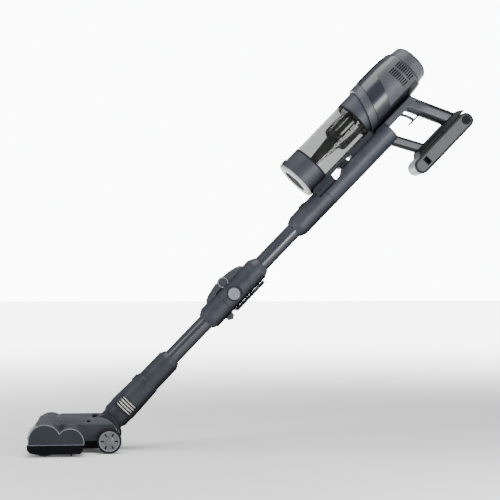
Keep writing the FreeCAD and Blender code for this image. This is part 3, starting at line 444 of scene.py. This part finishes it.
def fromNode(name, *nodes):
    # a merged copy of one or more CAD pieces, to be given its edges and details
    bpy.ops.object.select_all(action="DESELECT")
    for node in nodes:
        frame["nodes"][node].hide_set(False)
        frame["nodes"][node].select_set(True)
    bpy.context.view_layer.objects.active = frame["nodes"][nodes[0]]
    bpy.ops.object.duplicate()
    if len(nodes) > 1:
        bpy.ops.object.join()
    piece = bpy.context.active_object
    piece.name = name
    piece.parent = None
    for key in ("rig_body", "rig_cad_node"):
        if key in piece:
            del piece[key]
    pick(piece)
    bpy.ops.mesh.customdata_custom_splitnormals_clear()
    bpy.ops.object.mode_set(mode="EDIT")
    bpy.ops.mesh.select_all(action="SELECT")
    bpy.ops.mesh.remove_doubles(threshold=2e-6)
    bpy.ops.mesh.dissolve_limited(angle_limit=math.radians(0.6))
    bpy.ops.object.mode_set(mode="OBJECT")
    piece.data.materials.clear()
    return piece


def melt(piece, size, rounds, turn=None):
    # one skin over the whole piece, with its corners and joins softened
    if turn is not None:
        settle(piece, turn.inverted())
    pick(piece)
    piece.data.remesh_voxel_size = size * mm
    piece.data.remesh_voxel_adaptivity = 0
    bpy.ops.object.voxel_remesh()
    modifier = piece.modifiers.new("soften", "SMOOTH")
    modifier.factor = 0.5
    modifier.iterations = rounds
    applyAll(piece)
    if turn is not None:
        settle(piece, turn)
    for face in piece.data.polygons:
        face.use_smooth = True
    return piece


def coloured(piece, *looks):
    piece.data.materials.clear()
    for look in looks:
        piece.data.materials.append(finish[look])
    return piece


def paintWhere(piece, test, faceSlot):
    # the test takes a face's middle in millimetres and its normal
    for face in piece.data.polygons:
        if test(face.center / mm, face.normal):
            face.material_index = faceSlot
    return piece


def hand(piece, body, look, slot, *nodes):
    # gives the piece its finish, its body and the CAD pieces that it stands for
    if not piece.data.materials:
        piece.data.materials.append(finish[look])
    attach(piece, body)
    if nodes:
        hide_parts(*nodes)
    return piece


# plain pieces that keep the CAD's form and get worked edges

worked = [
    # name, node, body, look, slot, edge width
    ("wandCollar", "wand_collar", "handset", "slate_plastic", "slate_plastic", 0.8),
    ("wandButton", "wand_release", "wand_button", "dark_plastic", "dark_plastic", 0.5),
    ("binRail", "bin_rail", "handset", "slate_plastic", "slate_plastic", 0.5),
    ("binSlider", "bin_release", "bin_release_slider", "dark_plastic", "dark_plastic", 0.6),
    ("motorRing", "motor_collar", "handset", "ring_plastic", "light_plastic", 1.2),
    ("rearCap", "rear_cap", "handset", "panel_plastic", "slate_plastic", 0.8),
    ("topStrip", "top_strip", "handset", "strip_black", "gloss_black", 0.4),
    ("modeKey", "mode_button", "mode_key", "silver_plastic", "silver_plastic", 0.5),
    ("gripPad", "grip_pad", "handset", "rubber", "rubber", 0.6),
    ("batteryCradle", "battery_cradle", "handset", "dark_plastic", "dark_plastic", 0.9),
    ("triggerBlade", "trigger", "trigger_blade", "dark_plastic", "dark_plastic", 0.7),
    ("binFrontCollar", "bin_front_collar", "dust_bin", "slate_plastic", "slate_plastic", 0.5),
    ("binRearCollar", "bin_rear_collar", "dust_bin", "slate_plastic", "slate_plastic", 0.5),
    ("binWindow", "bin_wall", "dust_bin", "clear_plastic", "clear_plastic", 0.3),
    ("cycloneCone", "cyclone_cone", "dust_bin", "cyclone_dark", "dark_plastic", 0.3),
    ("cycloneShroud", "cyclone_shroud", "dust_bin", "cyclone_dark", "dark_plastic", 0.3),
    ("lidLatch", "lid_latch", "lid_catch", "slate_plastic", "slate_plastic", 0.4),
    ("batteryCase", "battery_case", "battery", "light_plastic", "light_plastic", 1.5),
    ("chargeInlet", "charge_inlet", "battery", "base_black", "gloss_black", 0.3),
    ("upperTube", "upper_tube", "upper_wand", "tube_metal", "tube_metal", 0.3),
    ("lowerTube", "lower_tube", "lower_wand", "tube_metal", "tube_metal", 0.3),
    ("headButton", "head_release", "head_button", "slate_plastic", "dark_plastic", 0.5),
    ("neckYoke", "neck_yoke", "yoke", "slate_plastic", "dark_plastic", 0.9),
    ("softRoller", "soft_roller", "front_roller", "pile", "pile", 0.8),
    ("headBase", "head_base", "cleaning_head", "base_black", "dark_plastic", 0.6),
]
for name, node, body, look, slot, width in worked:
    piece = softEdges(fromNode(name, node), width)
    hand(shadeBy(piece), body, look, slot, node)
print("stage: worked pieces,", len(worked))

# the handle, duct and strut as one moulding

handleShape = {"skin": 1.1, "soften": 7}
handleFrame = fromNode("handleFrame", "duct_arm", "front_strut", "grip_shell")
melt(handleFrame, handleShape["skin"], handleShape["soften"], wandPlace)
hand(handleFrame, "handset", "handle_slate_painted_shade", "slate_plastic", "duct_arm", "front_strut", "grip_shell")
print("stage: handle,", len(handleFrame.data.polygons), "faces")

# floor head

headShape = {"skin": 1.35, "soften": 9}
headCover = fromNode("headCover", "head_cover")
melt(headCover, headShape["skin"], headShape["soften"], floorPlace)
hand(headCover, "cleaning_head", "head_slate", "slate_plastic", "head_cover")

# the end caps' bevels take the lighter slate, a painted highlight along their edges
capShape = {"edge": 1.5, "segments": 3, "corner": 50, "highlightSlot": 1}
endCaps = coloured(fromNode("endCaps", "end_caps"), "cap_slate", "slate_edge_highlight")
softEdges(endCaps, capShape["edge"], capShape["segments"], capShape["corner"], capShape["highlightSlot"])
hand(shadeBy(endCaps), "cleaning_head", "cap_slate", "slate_plastic", "end_caps")
print("stage: head,", len(headCover.data.polygons), "faces")

# motor barrel with its vents

barrel = {"axis": 71.5, "wall": 3, "edge": 0.4, "steps": 128,
          "profile": [(935, 52.5), (960, 52.5), (985, 52.5), (1008, 52.5), (1030, 52.5),
                      (1042, 52.0), (1050, 51.3), (1070, 49.1), (1074, 48.4), (1076, 47.0)],
          "seam": (934.9, 0.354), "slotRows": 9, "slotPitch": 5.1, "slotHalf": 1.25, "slotMiddle": 70.5,
          "slots": (1036, 1052), "slotReach": 70, "columns": 2, "columnStep": 20}
ventPanel = {"front": ((990, 45), (1012, 98)), "back": 1073.5, "low": 38.5, "high": 104.5,
             "proud": 0.8, "sunk": 0.4, "edge": 0.3}
liner = {"outside": [(1030, 46.6), (1050, 46.2), (1074, 45.1)], "wall": 0.6, "high": 106}


def ventCutter():
    low = barrel["slotMiddle"] - (barrel["slotRows"] - 1) / 2 * barrel["slotPitch"]
    cutter = brick("ventCutter", (barrel["slots"][0], -barrel["slotReach"], low - barrel["slotHalf"]),
                   (barrel["slots"][1], barrel["slotReach"], low + barrel["slotHalf"]))
    repeat(cutter, barrel["slotRows"], (0, 0, barrel["slotPitch"]))
    return repeat(cutter, barrel["columns"], (barrel["columnStep"], 0, 0))


def barrelSkin(name, outside, inside):
    outer = [(s, r + outside) for s, r in barrel["profile"]]
    inner = [(s, r - inside) for s, r in reversed(barrel["profile"])]
    return latheAlong(name, outer + inner, barrel["axis"], barrel["steps"])


seamStart, seamLean = barrel["seam"]
barrelShell = barrelSkin("barrelShell", 0, barrel["wall"])
cutPlane(barrelShell, (seamStart, 0, 0), (-1, 0, seamLean))
softEdges(barrelShell, barrel["edge"])
combine(barrelShell, ventCutter())
settle(barrelShell, wandPlace)
hand(shadeBy(barrelShell), "handset", "gloss_black", "gloss_black", "motor_housing")

(lowS, lowT), (highS, highT) = ventPanel["front"]
ventPanels = barrelSkin("ventPanels", ventPanel["proud"], ventPanel["sunk"])
cutPlane(ventPanels, (0, 0, ventPanel["high"]), (0, 0, 1))
cutPlane(ventPanels, (0, 0, ventPanel["low"]), (0, 0, -1))
cutPlane(ventPanels, (lowS, 0, lowT), (lowT - highT, 0, highS - lowS))
cutPlane(ventPanels, (ventPanel["back"], 0, 0), (1, 0, 0))
softEdges(ventPanels, ventPanel["edge"])
combine(ventPanels, ventCutter())
settle(ventPanels, wandPlace)
hand(shadeBy(ventPanels), "handset", "panel_plastic", "dark_plastic", "vent_panels")

linerInside = [(s, r - liner["wall"]) for s, r in reversed(liner["outside"])]
ventLiner = latheAlong("ventLiner", liner["outside"] + linerInside, barrel["axis"])
cutPlane(ventLiner, (0, 0, liner["high"]), (0, 0, 1))  # clear of the mode key
settle(ventLiner, wandPlace)
hand(shadeBy(ventLiner), "handset", "rubber", "rubber")
print("stage: barrel")

# dust bin seals and the lid's grip plate

dustBin = {"axis": 72, "wall": 45, "front": 779, "back": 918}
seal = {"gap": 0.05, "seat": 4, "corner": 50,
        "profile": [(0, 0), (0, 0.9), (0.6, 1.2), (3.2, 1.2), (3.9, 0.8), (3.9, 0)]}
for name, start in (("frontSeal", dustBin["front"]), ("backSeal", dustBin["back"] - seal["seat"])):
    inner = dustBin["wall"] + seal["gap"]
    ring = latheAlong(name, [(start + s, inner + r) for s, r in seal["profile"]], dustBin["axis"])
    settle(ring, wandPlace)
    hand(shadeBy(ring, seal["corner"]), "dust_bin", "rubber", "rubber")

lidPlate = {"edge": 0.6, "recess": 28.4, "recessFrom": 700, "recessTo": 732.6, "corner": 40,
            "profile": [(732.65, 0), (732.65, 28), (731.6, 27.9), (731.0, 27.1), (731.4, 25.7),
                        (732.0, 24.3), (732.0, 8.5), (731.2, 7.4), (731.0, 0)]}
binLid = softEdges(fromNode("binLid", "bin_lid"), lidPlate["edge"])
recessProfile = [(lidPlate["recessFrom"], 0), (lidPlate["recessFrom"], lidPlate["recess"]),
                 (lidPlate["recessTo"], lidPlate["recess"]), (lidPlate["recessTo"], 0)]
recess = latheAlong("recess", recessProfile, dustBin["axis"])
settle(recess, wandPlace)
combine(binLid, recess)
hand(shadeBy(binLid), "lid", "light_plastic", "light_plastic", "bin_lid")
lidGrip = latheAlong("lidGrip", lidPlate["profile"], dustBin["axis"])
settle(lidGrip, wandPlace)
hand(shadeBy(lidGrip, lidPlate["corner"]), "lid", "base_black", "dark_plastic")
print("stage: bin")

# battery

battery = {"height": -102.7, "radius": 16.75, "low": 945.75, "high": 1085.25, "near": -35, "back": -29,
           "arc": 20, "panelDepth": 0.6, "edge": 0.25, "port": 961.5, "portSize": (5.6, 8.2),
           "portSides": 40, "knob": 1086.5,
           # the cap's face: inset from the outline, front and back from the near side, cut or fill
           "steps": [(4.6, -1, 0.6, "DIFFERENCE"), (1.6, -1, 0.35, "DIFFERENCE"),
                     (2.4, 0.02, 0.6, "UNION"), (4.6, -1, 0.6, "DIFFERENCE")]}
knob = {"hole": 10.0, "profile": [(-34.7, 0), (-34.7, 9.0), (-34.2, 9.6), (-33.3, 9.6), (-33.3, 0)],
        "cross": (5.5, 0.9), "crossFrom": -36, "crossTo": -34.2, "edge": 0.15}


def batteryOutline(inset):
    points = []
    radius = battery["radius"] - inset
    for middle, start in ((battery["high"], -90), (battery["low"], 90)):
        for step in range(battery["arc"] + 1):
            angle = math.radians(start + 180 * step / battery["arc"])
            points.append((middle + radius * math.cos(angle), battery["height"] + radius * math.sin(angle)))
    return points


near, back = battery["near"], battery["back"]
batteryCap = slab("batteryCap", batteryOutline(0), near, back)
for inset, fromNear, toNear, way in battery["steps"]:
    combine(batteryCap, slab("step", batteryOutline(inset), near + fromNear, near + toNear), way)
portX, (portLong, portHigh) = battery["port"], battery["portSize"]
cutFrom, cutTo = near - 2, back + 1  # past both faces of the cap
portCut = drum("portCut", (portX, battery["height"]), portHigh, cutFrom, cutTo, battery["portSides"])
pick(portCut)
bpy.ops.object.mode_set(mode="EDIT")
bpy.ops.mesh.select_all(action="SELECT")
bpy.ops.transform.translate(value=(-portX * mm, 0, 0))
bpy.ops.transform.resize(value=(portLong / portHigh, 1, 1), center_override=(0, 0, 0))
bpy.ops.transform.translate(value=(portX * mm, 0, 0))
bpy.ops.object.mode_set(mode="OBJECT")
combine(batteryCap, portCut)
knobMiddle = (battery["knob"], battery["height"])
combine(batteryCap, drum("knobCut", knobMiddle, knob["hole"], cutFrom, cutTo))
coloured(batteryCap, "dark_plastic", "cap_panel")
panelAt = near + battery["panelDepth"]
paintWhere(batteryCap, lambda at, facing: abs(at.y - panelAt) < 0.1 and facing.y < -0.9, 1)
softEdges(batteryCap, battery["edge"])
settle(batteryCap, wandPlace)
hand(shadeBy(batteryCap), "battery", "dark_plastic", "dark_plastic", "battery_cap")

batteryKnob = latheAcross("batteryKnob", knob["profile"], knobMiddle)
for long, high in (knob["cross"], knob["cross"][::-1]):
    combine(batteryKnob, brick("cross", (knobMiddle[0] - long, knob["crossFrom"], knobMiddle[1] - high),
                               (knobMiddle[0] + long, knob["crossTo"], knobMiddle[1] + high)))
softEdges(batteryKnob, knob["edge"])
settle(batteryKnob, wandPlace)
hand(shadeBy(batteryKnob), "battery_button", "rubber", "dark_plastic", "battery_release")
print("stage: battery")

# elbow: skins, hinge discs and the ribbed slider

elbow = {"hinge": (461, 32.5), "skin": 0.8, "soften": 6, "lever": 499, "latchEdge": 0.8, "rim": 9.7,
         # one disc, from its face inwards to the pin; the other is its mirror
         "disc": [(-11, 0), (-11, 7.6), (-10.3, 8.0), (-10.3, 9.2), (-10.9, 9.6), (-10.9, 10.9),
                  (-10.4, 11.5), (-9.2, 11.5), (-9.2, 4)]}
for name, node, body in (("elbowLower", "elbow_lower_shell", "lower_wand"),
                         ("elbowUpper", "elbow_upper_shell", "upper_wand")):
    shell = melt(fromNode(name, node), elbow["skin"], elbow["soften"], wandPlace)
    hand(shell, body, "slate_plastic", "slate_plastic", node)

farDisc = [(-y, r) for y, r in reversed(elbow["disc"])]
hingeDiscs = latheAcross("hingeDiscs", elbow["disc"] + farDisc, elbow["hinge"])
settle(hingeDiscs, wandPlace)
coloured(hingeDiscs, "slate_plastic", "slate_edge_highlight")
inWand = wandPlace.inverted()


# the disc's rim takes the lighter slate, a painted highlight
def hingeRimHighlight(at, facing):
    spot = inWand @ (at * mm) / mm
    away = math.hypot(spot.x - elbow["hinge"][0], spot.z - elbow["hinge"][1])
    return away > elbow["rim"] and abs(facing.y) > 0.3


paintWhere(hingeDiscs, hingeRimHighlight, 1)
hand(shadeBy(hingeDiscs), "upper_wand", "slate_plastic", "dark_plastic", "elbow_pin")

latch = softEdges(fromNode("foldLatch", "elbow_latch"), elbow["latchEdge"])
coloured(latch, "dark_plastic", "silver_plastic")
paintWhere(latch, lambda at, facing: (inWand @ (at * mm)).x > elbow["lever"] * mm, 1)
hand(shadeBy(latch), "fold_latch", "dark_plastic", "dark_plastic", "elbow_latch")

slider = {"middle": (459.3, -0.4), "face": -25.3, "root": -19.6, "ribs": 9, "ribStep": 2.9,
          "ribRadius": 0.8, "ribHalf": 11, "ribSides": 10, "ribSunk": 1.1, "ribsWithin": 10.6,
          # how far each point of the button's face lies behind it, and its radius
          "dish": [(1.0, 0), (0.8, 9.5), (0.1, 11.4), (0.2, 12.2), (1.0, 12.8)]}
buttonProfile = [(slider["face"] + behind, r) for behind, r in slider["dish"]]
buttonRadius = buttonProfile[-1][1]
buttonProfile += [(slider["root"], buttonRadius), (slider["root"], 0)]
foldSlider = latheAcross("foldSlider", buttonProfile, slider["middle"])
rib = drum("rib", (0, 0), slider["ribRadius"], -slider["ribHalf"], slider["ribHalf"], slider["ribSides"])
pick(rib)
rib.rotation_euler = (math.pi / 2, 0, 0)
firstRib = slider["middle"][0] - (slider["ribs"] - 1) / 2 * slider["ribStep"]
rib.location = Vector((firstRib, slider["face"] + slider["ribSunk"], slider["middle"][1])) * mm
settle(rib)
repeat(rib, slider["ribs"], (slider["ribStep"], 0, 0))
within = drum("within", slider["middle"], slider["ribsWithin"], slider["face"] - 1, slider["face"] + 4)
combine(rib, within, "INTERSECT")
combine(foldSlider, rib, "UNION")
settle(foldSlider, wandPlace)
hand(shadeBy(foldSlider), "fold_slider", "silver_plastic", "silver_plastic", "elbow_slider")
print("stage: elbow")

# neck bellows

bellows = {"from": 117, "to": 142, "ribs": 4, "root": 23.2, "crest": 25.4, "inner": 21.3, "rib": 3.3,
           "round": (0.8, 0.9), "sunk": 0.3, "corner": 40}
socket = {"edge": 0.7, "window": 4, "wallSlope": 0.6}
sleeve = latheAlong("neckBellows", [(bellows["from"], bellows["inner"]), (bellows["from"], bellows["root"]),
                                    (bellows["to"], bellows["root"]), (bellows["to"], bellows["inner"])])
coloured(sleeve, "rubber", "rib_silver")
pitch = (bellows["to"] - bellows["from"]) / bellows["ribs"]
ribFrom = bellows["from"] + (pitch - bellows["rib"]) / 2
ribTo = ribFrom + bellows["rib"]
ribRoot = bellows["root"] - bellows["sunk"]
ribCrest = bellows["crest"]
roundLong, roundHigh = bellows["round"]
ringProfile = [(ribFrom, ribRoot), (ribFrom, ribCrest - roundHigh), (ribFrom + roundLong, ribCrest),
               (ribTo - roundLong, ribCrest), (ribTo, ribCrest - roundHigh), (ribTo, ribRoot)]
rings = latheAlong("rings", ringProfile)
repeat(rings, bellows["ribs"], (pitch, 0, 0))
rings.data.materials.append(finish["rib_silver"])
joinInto(sleeve, rings)
settle(sleeve, wandPlace)
hand(shadeBy(sleeve, bellows["corner"]), "neck", "rubber", "rubber", "neck_bellows")

neckSocket = softEdges(fromNode("neckSocket", "neck_socket"), socket["edge"])
coloured(neckSocket, "slate_plastic", "base_black")


def windowWall(at, facing):
    # near the bellows and not facing straight out from the wand's axis
    spot = inWand @ (at * mm) / mm
    way = inWand.to_3x3() @ facing
    outwards = Vector((0, spot.y, spot.z)).normalized()
    nearBellows = bellows["from"] - socket["window"] < spot.x < bellows["to"] + socket["window"]
    return nearBellows and way.dot(outwards) < socket["wallSlope"]


paintWhere(neckSocket, windowWall, 1)
hand(shadeBy(neckSocket), "neck", "slate_plastic", "slate_plastic", "neck_socket")
print("stage: neck")

# wheels: dished silver hub with six slots, grooved tyre

wheel = {"middle": (55, 25.5), "steps": 96, "slots": 6, "slotHalf": 1.5, "slotFrom": 11.0, "slotTo": 18.0,
         "slotFloor": 80.6, "slotMouth": 82.6, "brightRim": 18.6,
         "hub": [(84, 0), (84, 6.6), (83.4, 7.8), (82.4, 8.8), (82.0, 10.5), (82.0, 18.2), (82.6, 19.2),
                 (83.7, 19.6), (84, 20.2), (84, 20.9), (83.4, 21.4), (67.4, 21.4), (67, 20.8), (67, 4),
                 (45, 4), (45, 0)],
         "tyre": [(66.6, 21.5), (66.1, 22.3), (66.2, 24.2), (67.4, 25.4), (70.6, 25.5), (71, 25.0),
                  (72, 25.0), (72.4, 25.5), (77.6, 25.5), (78, 25.0), (79, 25.0), (79.4, 25.5),
                  (82.6, 25.4), (83.8, 24.2), (83.9, 22.3), (83.4, 21.5)]}
hubX, hubZ = wheel["middle"]
for side, turn in (("left", 1), ("right", -1)):
    hubProfile = [(turn * y, r) for y, r in wheel["hub"]]
    hub = latheAcross(side + "Hub", hubProfile, wheel["middle"], wheel["steps"])
    coloured(hub, "wheel_silver", "rubber")
    spoke = brick("spoke", (-wheel["slotHalf"], turn * wheel["slotMouth"], wheel["slotFrom"]),
                  (wheel["slotHalf"], turn * wheel["slotFloor"], wheel["slotTo"]))
    coloured(spoke, "wheel_silver", "rubber")
    paintWhere(spoke, lambda at, facing: True, 1)
    for step in range(wheel["slots"]):
        slot = spoke.copy()
        slot.data = spoke.data.copy()
        bpy.context.scene.collection.objects.link(slot)
        slot.rotation_euler = (0, math.radians(360 / wheel["slots"] * (step + 0.5)), 0)
        slot.location = Vector((hubX, 0, hubZ)) * mm
        settle(slot)
        combine(hub, slot)
    bpy.data.objects.remove(spoke)
    hub.data.materials.append(finish["silver_plastic"])
    paintWhere(hub, lambda at, facing: math.hypot(at.x - hubX, at.z - hubZ) > wheel["brightRim"], 2)
    settle(hub, floorPlace)
    hand(shadeBy(hub), side + "_wheel_set", "wheel_silver", "silver_plastic", side + "_wheel")
    tyreProfile = [(turn * y, r) for y, r in wheel["tyre"]]
    tyre = latheAcross(side + "Tyre", tyreProfile, wheel["middle"], wheel["steps"])
    settle(tyre, floorPlace)
    hand(shadeBy(tyre), side + "_wheel_set", "tyre", "tyre", side + "_tyre")
print("stage: wheels")

# brush roller: bristle tufts in rows between its fins

brush = {"middle": (-22, 22.5), "foot": 14, "tip": 22.2, "tuft": 2.6, "from": -103, "tufts": 34,
         "step": 6.05, "rows": 6, "edge": 0.4}
tuft = brick("tuft", (-brush["tuft"] / 2, brush["from"], brush["foot"]),
             (brush["tuft"] / 2, brush["from"] + brush["tuft"], brush["tip"]))
repeat(tuft, brush["tufts"], (0, brush["step"], 0))
tuft.rotation_euler = (0, math.pi / brush["rows"], 0)
settle(tuft)
turner = bpy.data.objects.new("turner", None)
bpy.context.scene.collection.objects.link(turner)
turner.rotation_euler = (0, 2 * math.pi / brush["rows"], 0)
bpy.context.view_layer.update()
around = tuft.modifiers.new("around", "ARRAY")
around.count = brush["rows"]
around.use_relative_offset = False
around.use_object_offset = True
around.offset_object = turner
applyAll(tuft)
bpy.data.objects.remove(turner)
tuft.location = Vector((brush["middle"][0], 0, brush["middle"][1])) * mm
settle(tuft)
settle(tuft, floorPlace)
brushRoller = softEdges(fromNode("brushRoller", "brush_roller"), brush["edge"])
coloured(brushRoller, "dark_plastic", "bristle")
coloured(tuft, "bristle")
joinInto(brushRoller, tuft)
hand(shadeBy(brushRoller), "rear_roller", "dark_plastic", "dark_plastic", "brush_roller")
print("stage: rollers")

# front lens with its row of lights behind it

lights = {"count": 9, "step": 22, "middle": (-75, 33), "radius": 34.2, "rise": 28, "lensEdge": 0.8,
          "lamp": 1.3, "lampHalf": 2.6, "lampEdge": 0.5, "lampSides": 20}
lens = softEdges(fromNode("frontLens", "light_bar"), lights["lensEdge"])
hand(shadeBy(lens), "cleaning_head", "lens", "lens", "light_bar")
riseAngle = math.radians(180 - lights["rise"])
lampAt = (lights["middle"][0] + lights["radius"] * math.cos(riseAngle),
          lights["middle"][1] + lights["radius"] * math.sin(riseAngle))
lamps = drum("frontLamps", lampAt, lights["lamp"], -lights["lampHalf"], lights["lampHalf"],
             lights["lampSides"])
softEdges(lamps, lights["lampEdge"])
lamps.location = (0, -(lights["count"] - 1) / 2 * lights["step"] * mm, 0)
settle(lamps)
repeat(lamps, lights["count"], (0, lights["step"], 0))
settle(lamps, floorPlace)
hand(shadeBy(lamps), "cleaning_head", "rib_silver", "silver_plastic")
print("stage: front lens")

# the rest of the CAD pieces keep their own meshes

nodeSlot = {part["node"]: part["material_slot"] for part in frame["record"]["subparts"]}
for node, thing in frame["nodes"].items():
    coloured(thing, nodeSlot[node])
print("stage: finishes on CAD pieces")

# studio

studio = {"floor": -731.9, "floorSize": 40, "eye": (-674.0, -2642.5, -376.5),
          "look": (0.10449, 0.99418, 0.02618), "lens": 88.2, "sensor": 36, "reach": 100,
          "sky": (0.96, 0.975, 1.0, 1), "dim": 0.42, "backdrop": 11, "behindGlass": 0.5,
          "fade": {"from": 0.5, "to": 4.5, "glow": 6}}


def paperFinish():
    # pale paper that glows more and more with distance
    material, nodes, links = plainMaterial("studio_floor")
    shader = nodes["Principled BSDF"]
    paper = addNode(nodes, "ShaderNodeTexNoise", [("Scale", 3), ("Detail", 2)])
    shade = addNode(nodes, "ShaderNodeValToRGB")
    shade.color_ramp.elements[0].color = (0.84, 0.84, 0.85, 1)
    shade.color_ramp.elements[1].color = (0.88, 0.88, 0.88, 1)
    links.new(paper.outputs["Fac"], shade.inputs["Fac"])
    links.new(shade.outputs["Color"], shader.inputs["Base Color"])
    glow = studio["fade"]
    place = addNode(nodes, "ShaderNodeTexCoord")
    reach = addNode(nodes, "ShaderNodeVectorMath", operation="LENGTH")
    fade = addNode(nodes, "ShaderNodeMapRange", [("From Min", glow["from"]), ("From Max", glow["to"]),
                                                 ("To Max", glow["glow"])], interpolation_type="SMOOTHSTEP")
    links.new(place.outputs["Object"], reach.inputs[0])
    links.new(reach.outputs["Value"], fade.inputs["Value"])
    links.new(fade.outputs["Result"], shader.inputs["Emission Strength"])
    shader.inputs["Emission Color"].default_value = (1, 1, 1, 1)
    shader.inputs["Roughness"].default_value = 0.9
    return material


def lightSky():
    # bright to the camera, grey through clear plastic, dim as a light
    world = bpy.data.worlds.new("studio")
    bpy.context.scene.world = world
    world.use_nodes = True
    nodes, links = world.node_tree.nodes, world.node_tree.links
    sky = nodes["Background"]
    path = addNode(nodes, "ShaderNodeLightPath")
    through = addNode(nodes, "ShaderNodeMath", [(1, studio["behindGlass"]), (2, studio["dim"])],
                      operation="MULTIPLY_ADD")
    direct = addNode(nodes, "ShaderNodeMath", [(1, studio["backdrop"])], operation="MULTIPLY_ADD")
    links.new(path.outputs["Is Transmission Ray"], through.inputs[0])
    links.new(path.outputs["Is Camera Ray"], direct.inputs[0])
    links.new(through.outputs[0], direct.inputs[2])
    links.new(direct.outputs[0], sky.inputs["Strength"])
    sky.inputs["Color"].default_value = studio["sky"]


bpy.ops.object.select_all(action="DESELECT")
bpy.ops.mesh.primitive_plane_add(size=studio["floorSize"], location=(0, 0, studio["floor"] * mm))
floor = bpy.context.active_object
floor.name = "studioFloor"
floor.data.materials.append(paperFinish())
lightSky()

softboxes = {
    # place, aim, the way its length runs, length, width, watts
    "topSoftbox": ((-500, -200, 1600), (-400, 0, -300), (1, 0, 0), 1500, 1500, 52),
    "leftSoftbox": ((-2300, -1300, 600), (-400, 0, -300), (0, 0, 1), 1600, 900, 20),
    "lowSoftbox": ((330, -1010, -170), (-230, 0, -190), (0.695, 0, 0.719), 1000, 420, 16),
}
for name, (place, aim, along, length, width, watts) in softboxes.items():
    light = bpy.data.lights.new(name, "AREA")
    light.shape = "RECTANGLE"
    light.size = length * mm
    light.size_y = width * mm
    light.energy = watts
    lamp = bpy.data.objects.new(name, light)
    bpy.context.scene.collection.objects.link(lamp)
    away = (Vector(place) - Vector(aim)).normalized()
    side = away.cross(Vector(along)).normalized()
    turned = Matrix((side.cross(away), side, away)).transposed().to_4x4()
    lamp.matrix_world = Matrix.Translation(Vector(place) * mm) @ turned
    lamp.visible_camera = False

eye = bpy.data.cameras.new("camera")
eye.lens = studio["lens"]
eye.sensor_width = studio["sensor"]
eye.clip_end = studio["reach"]
camera = bpy.data.objects.new("camera", eye)
bpy.context.scene.collection.objects.link(camera)
camera.location = Vector(studio["eye"]) * mm
camera.rotation_euler = Vector(studio["look"]).to_track_quat("-Z", "Y").to_euler()
bpy.context.scene.camera = camera
print("stage: studio set")
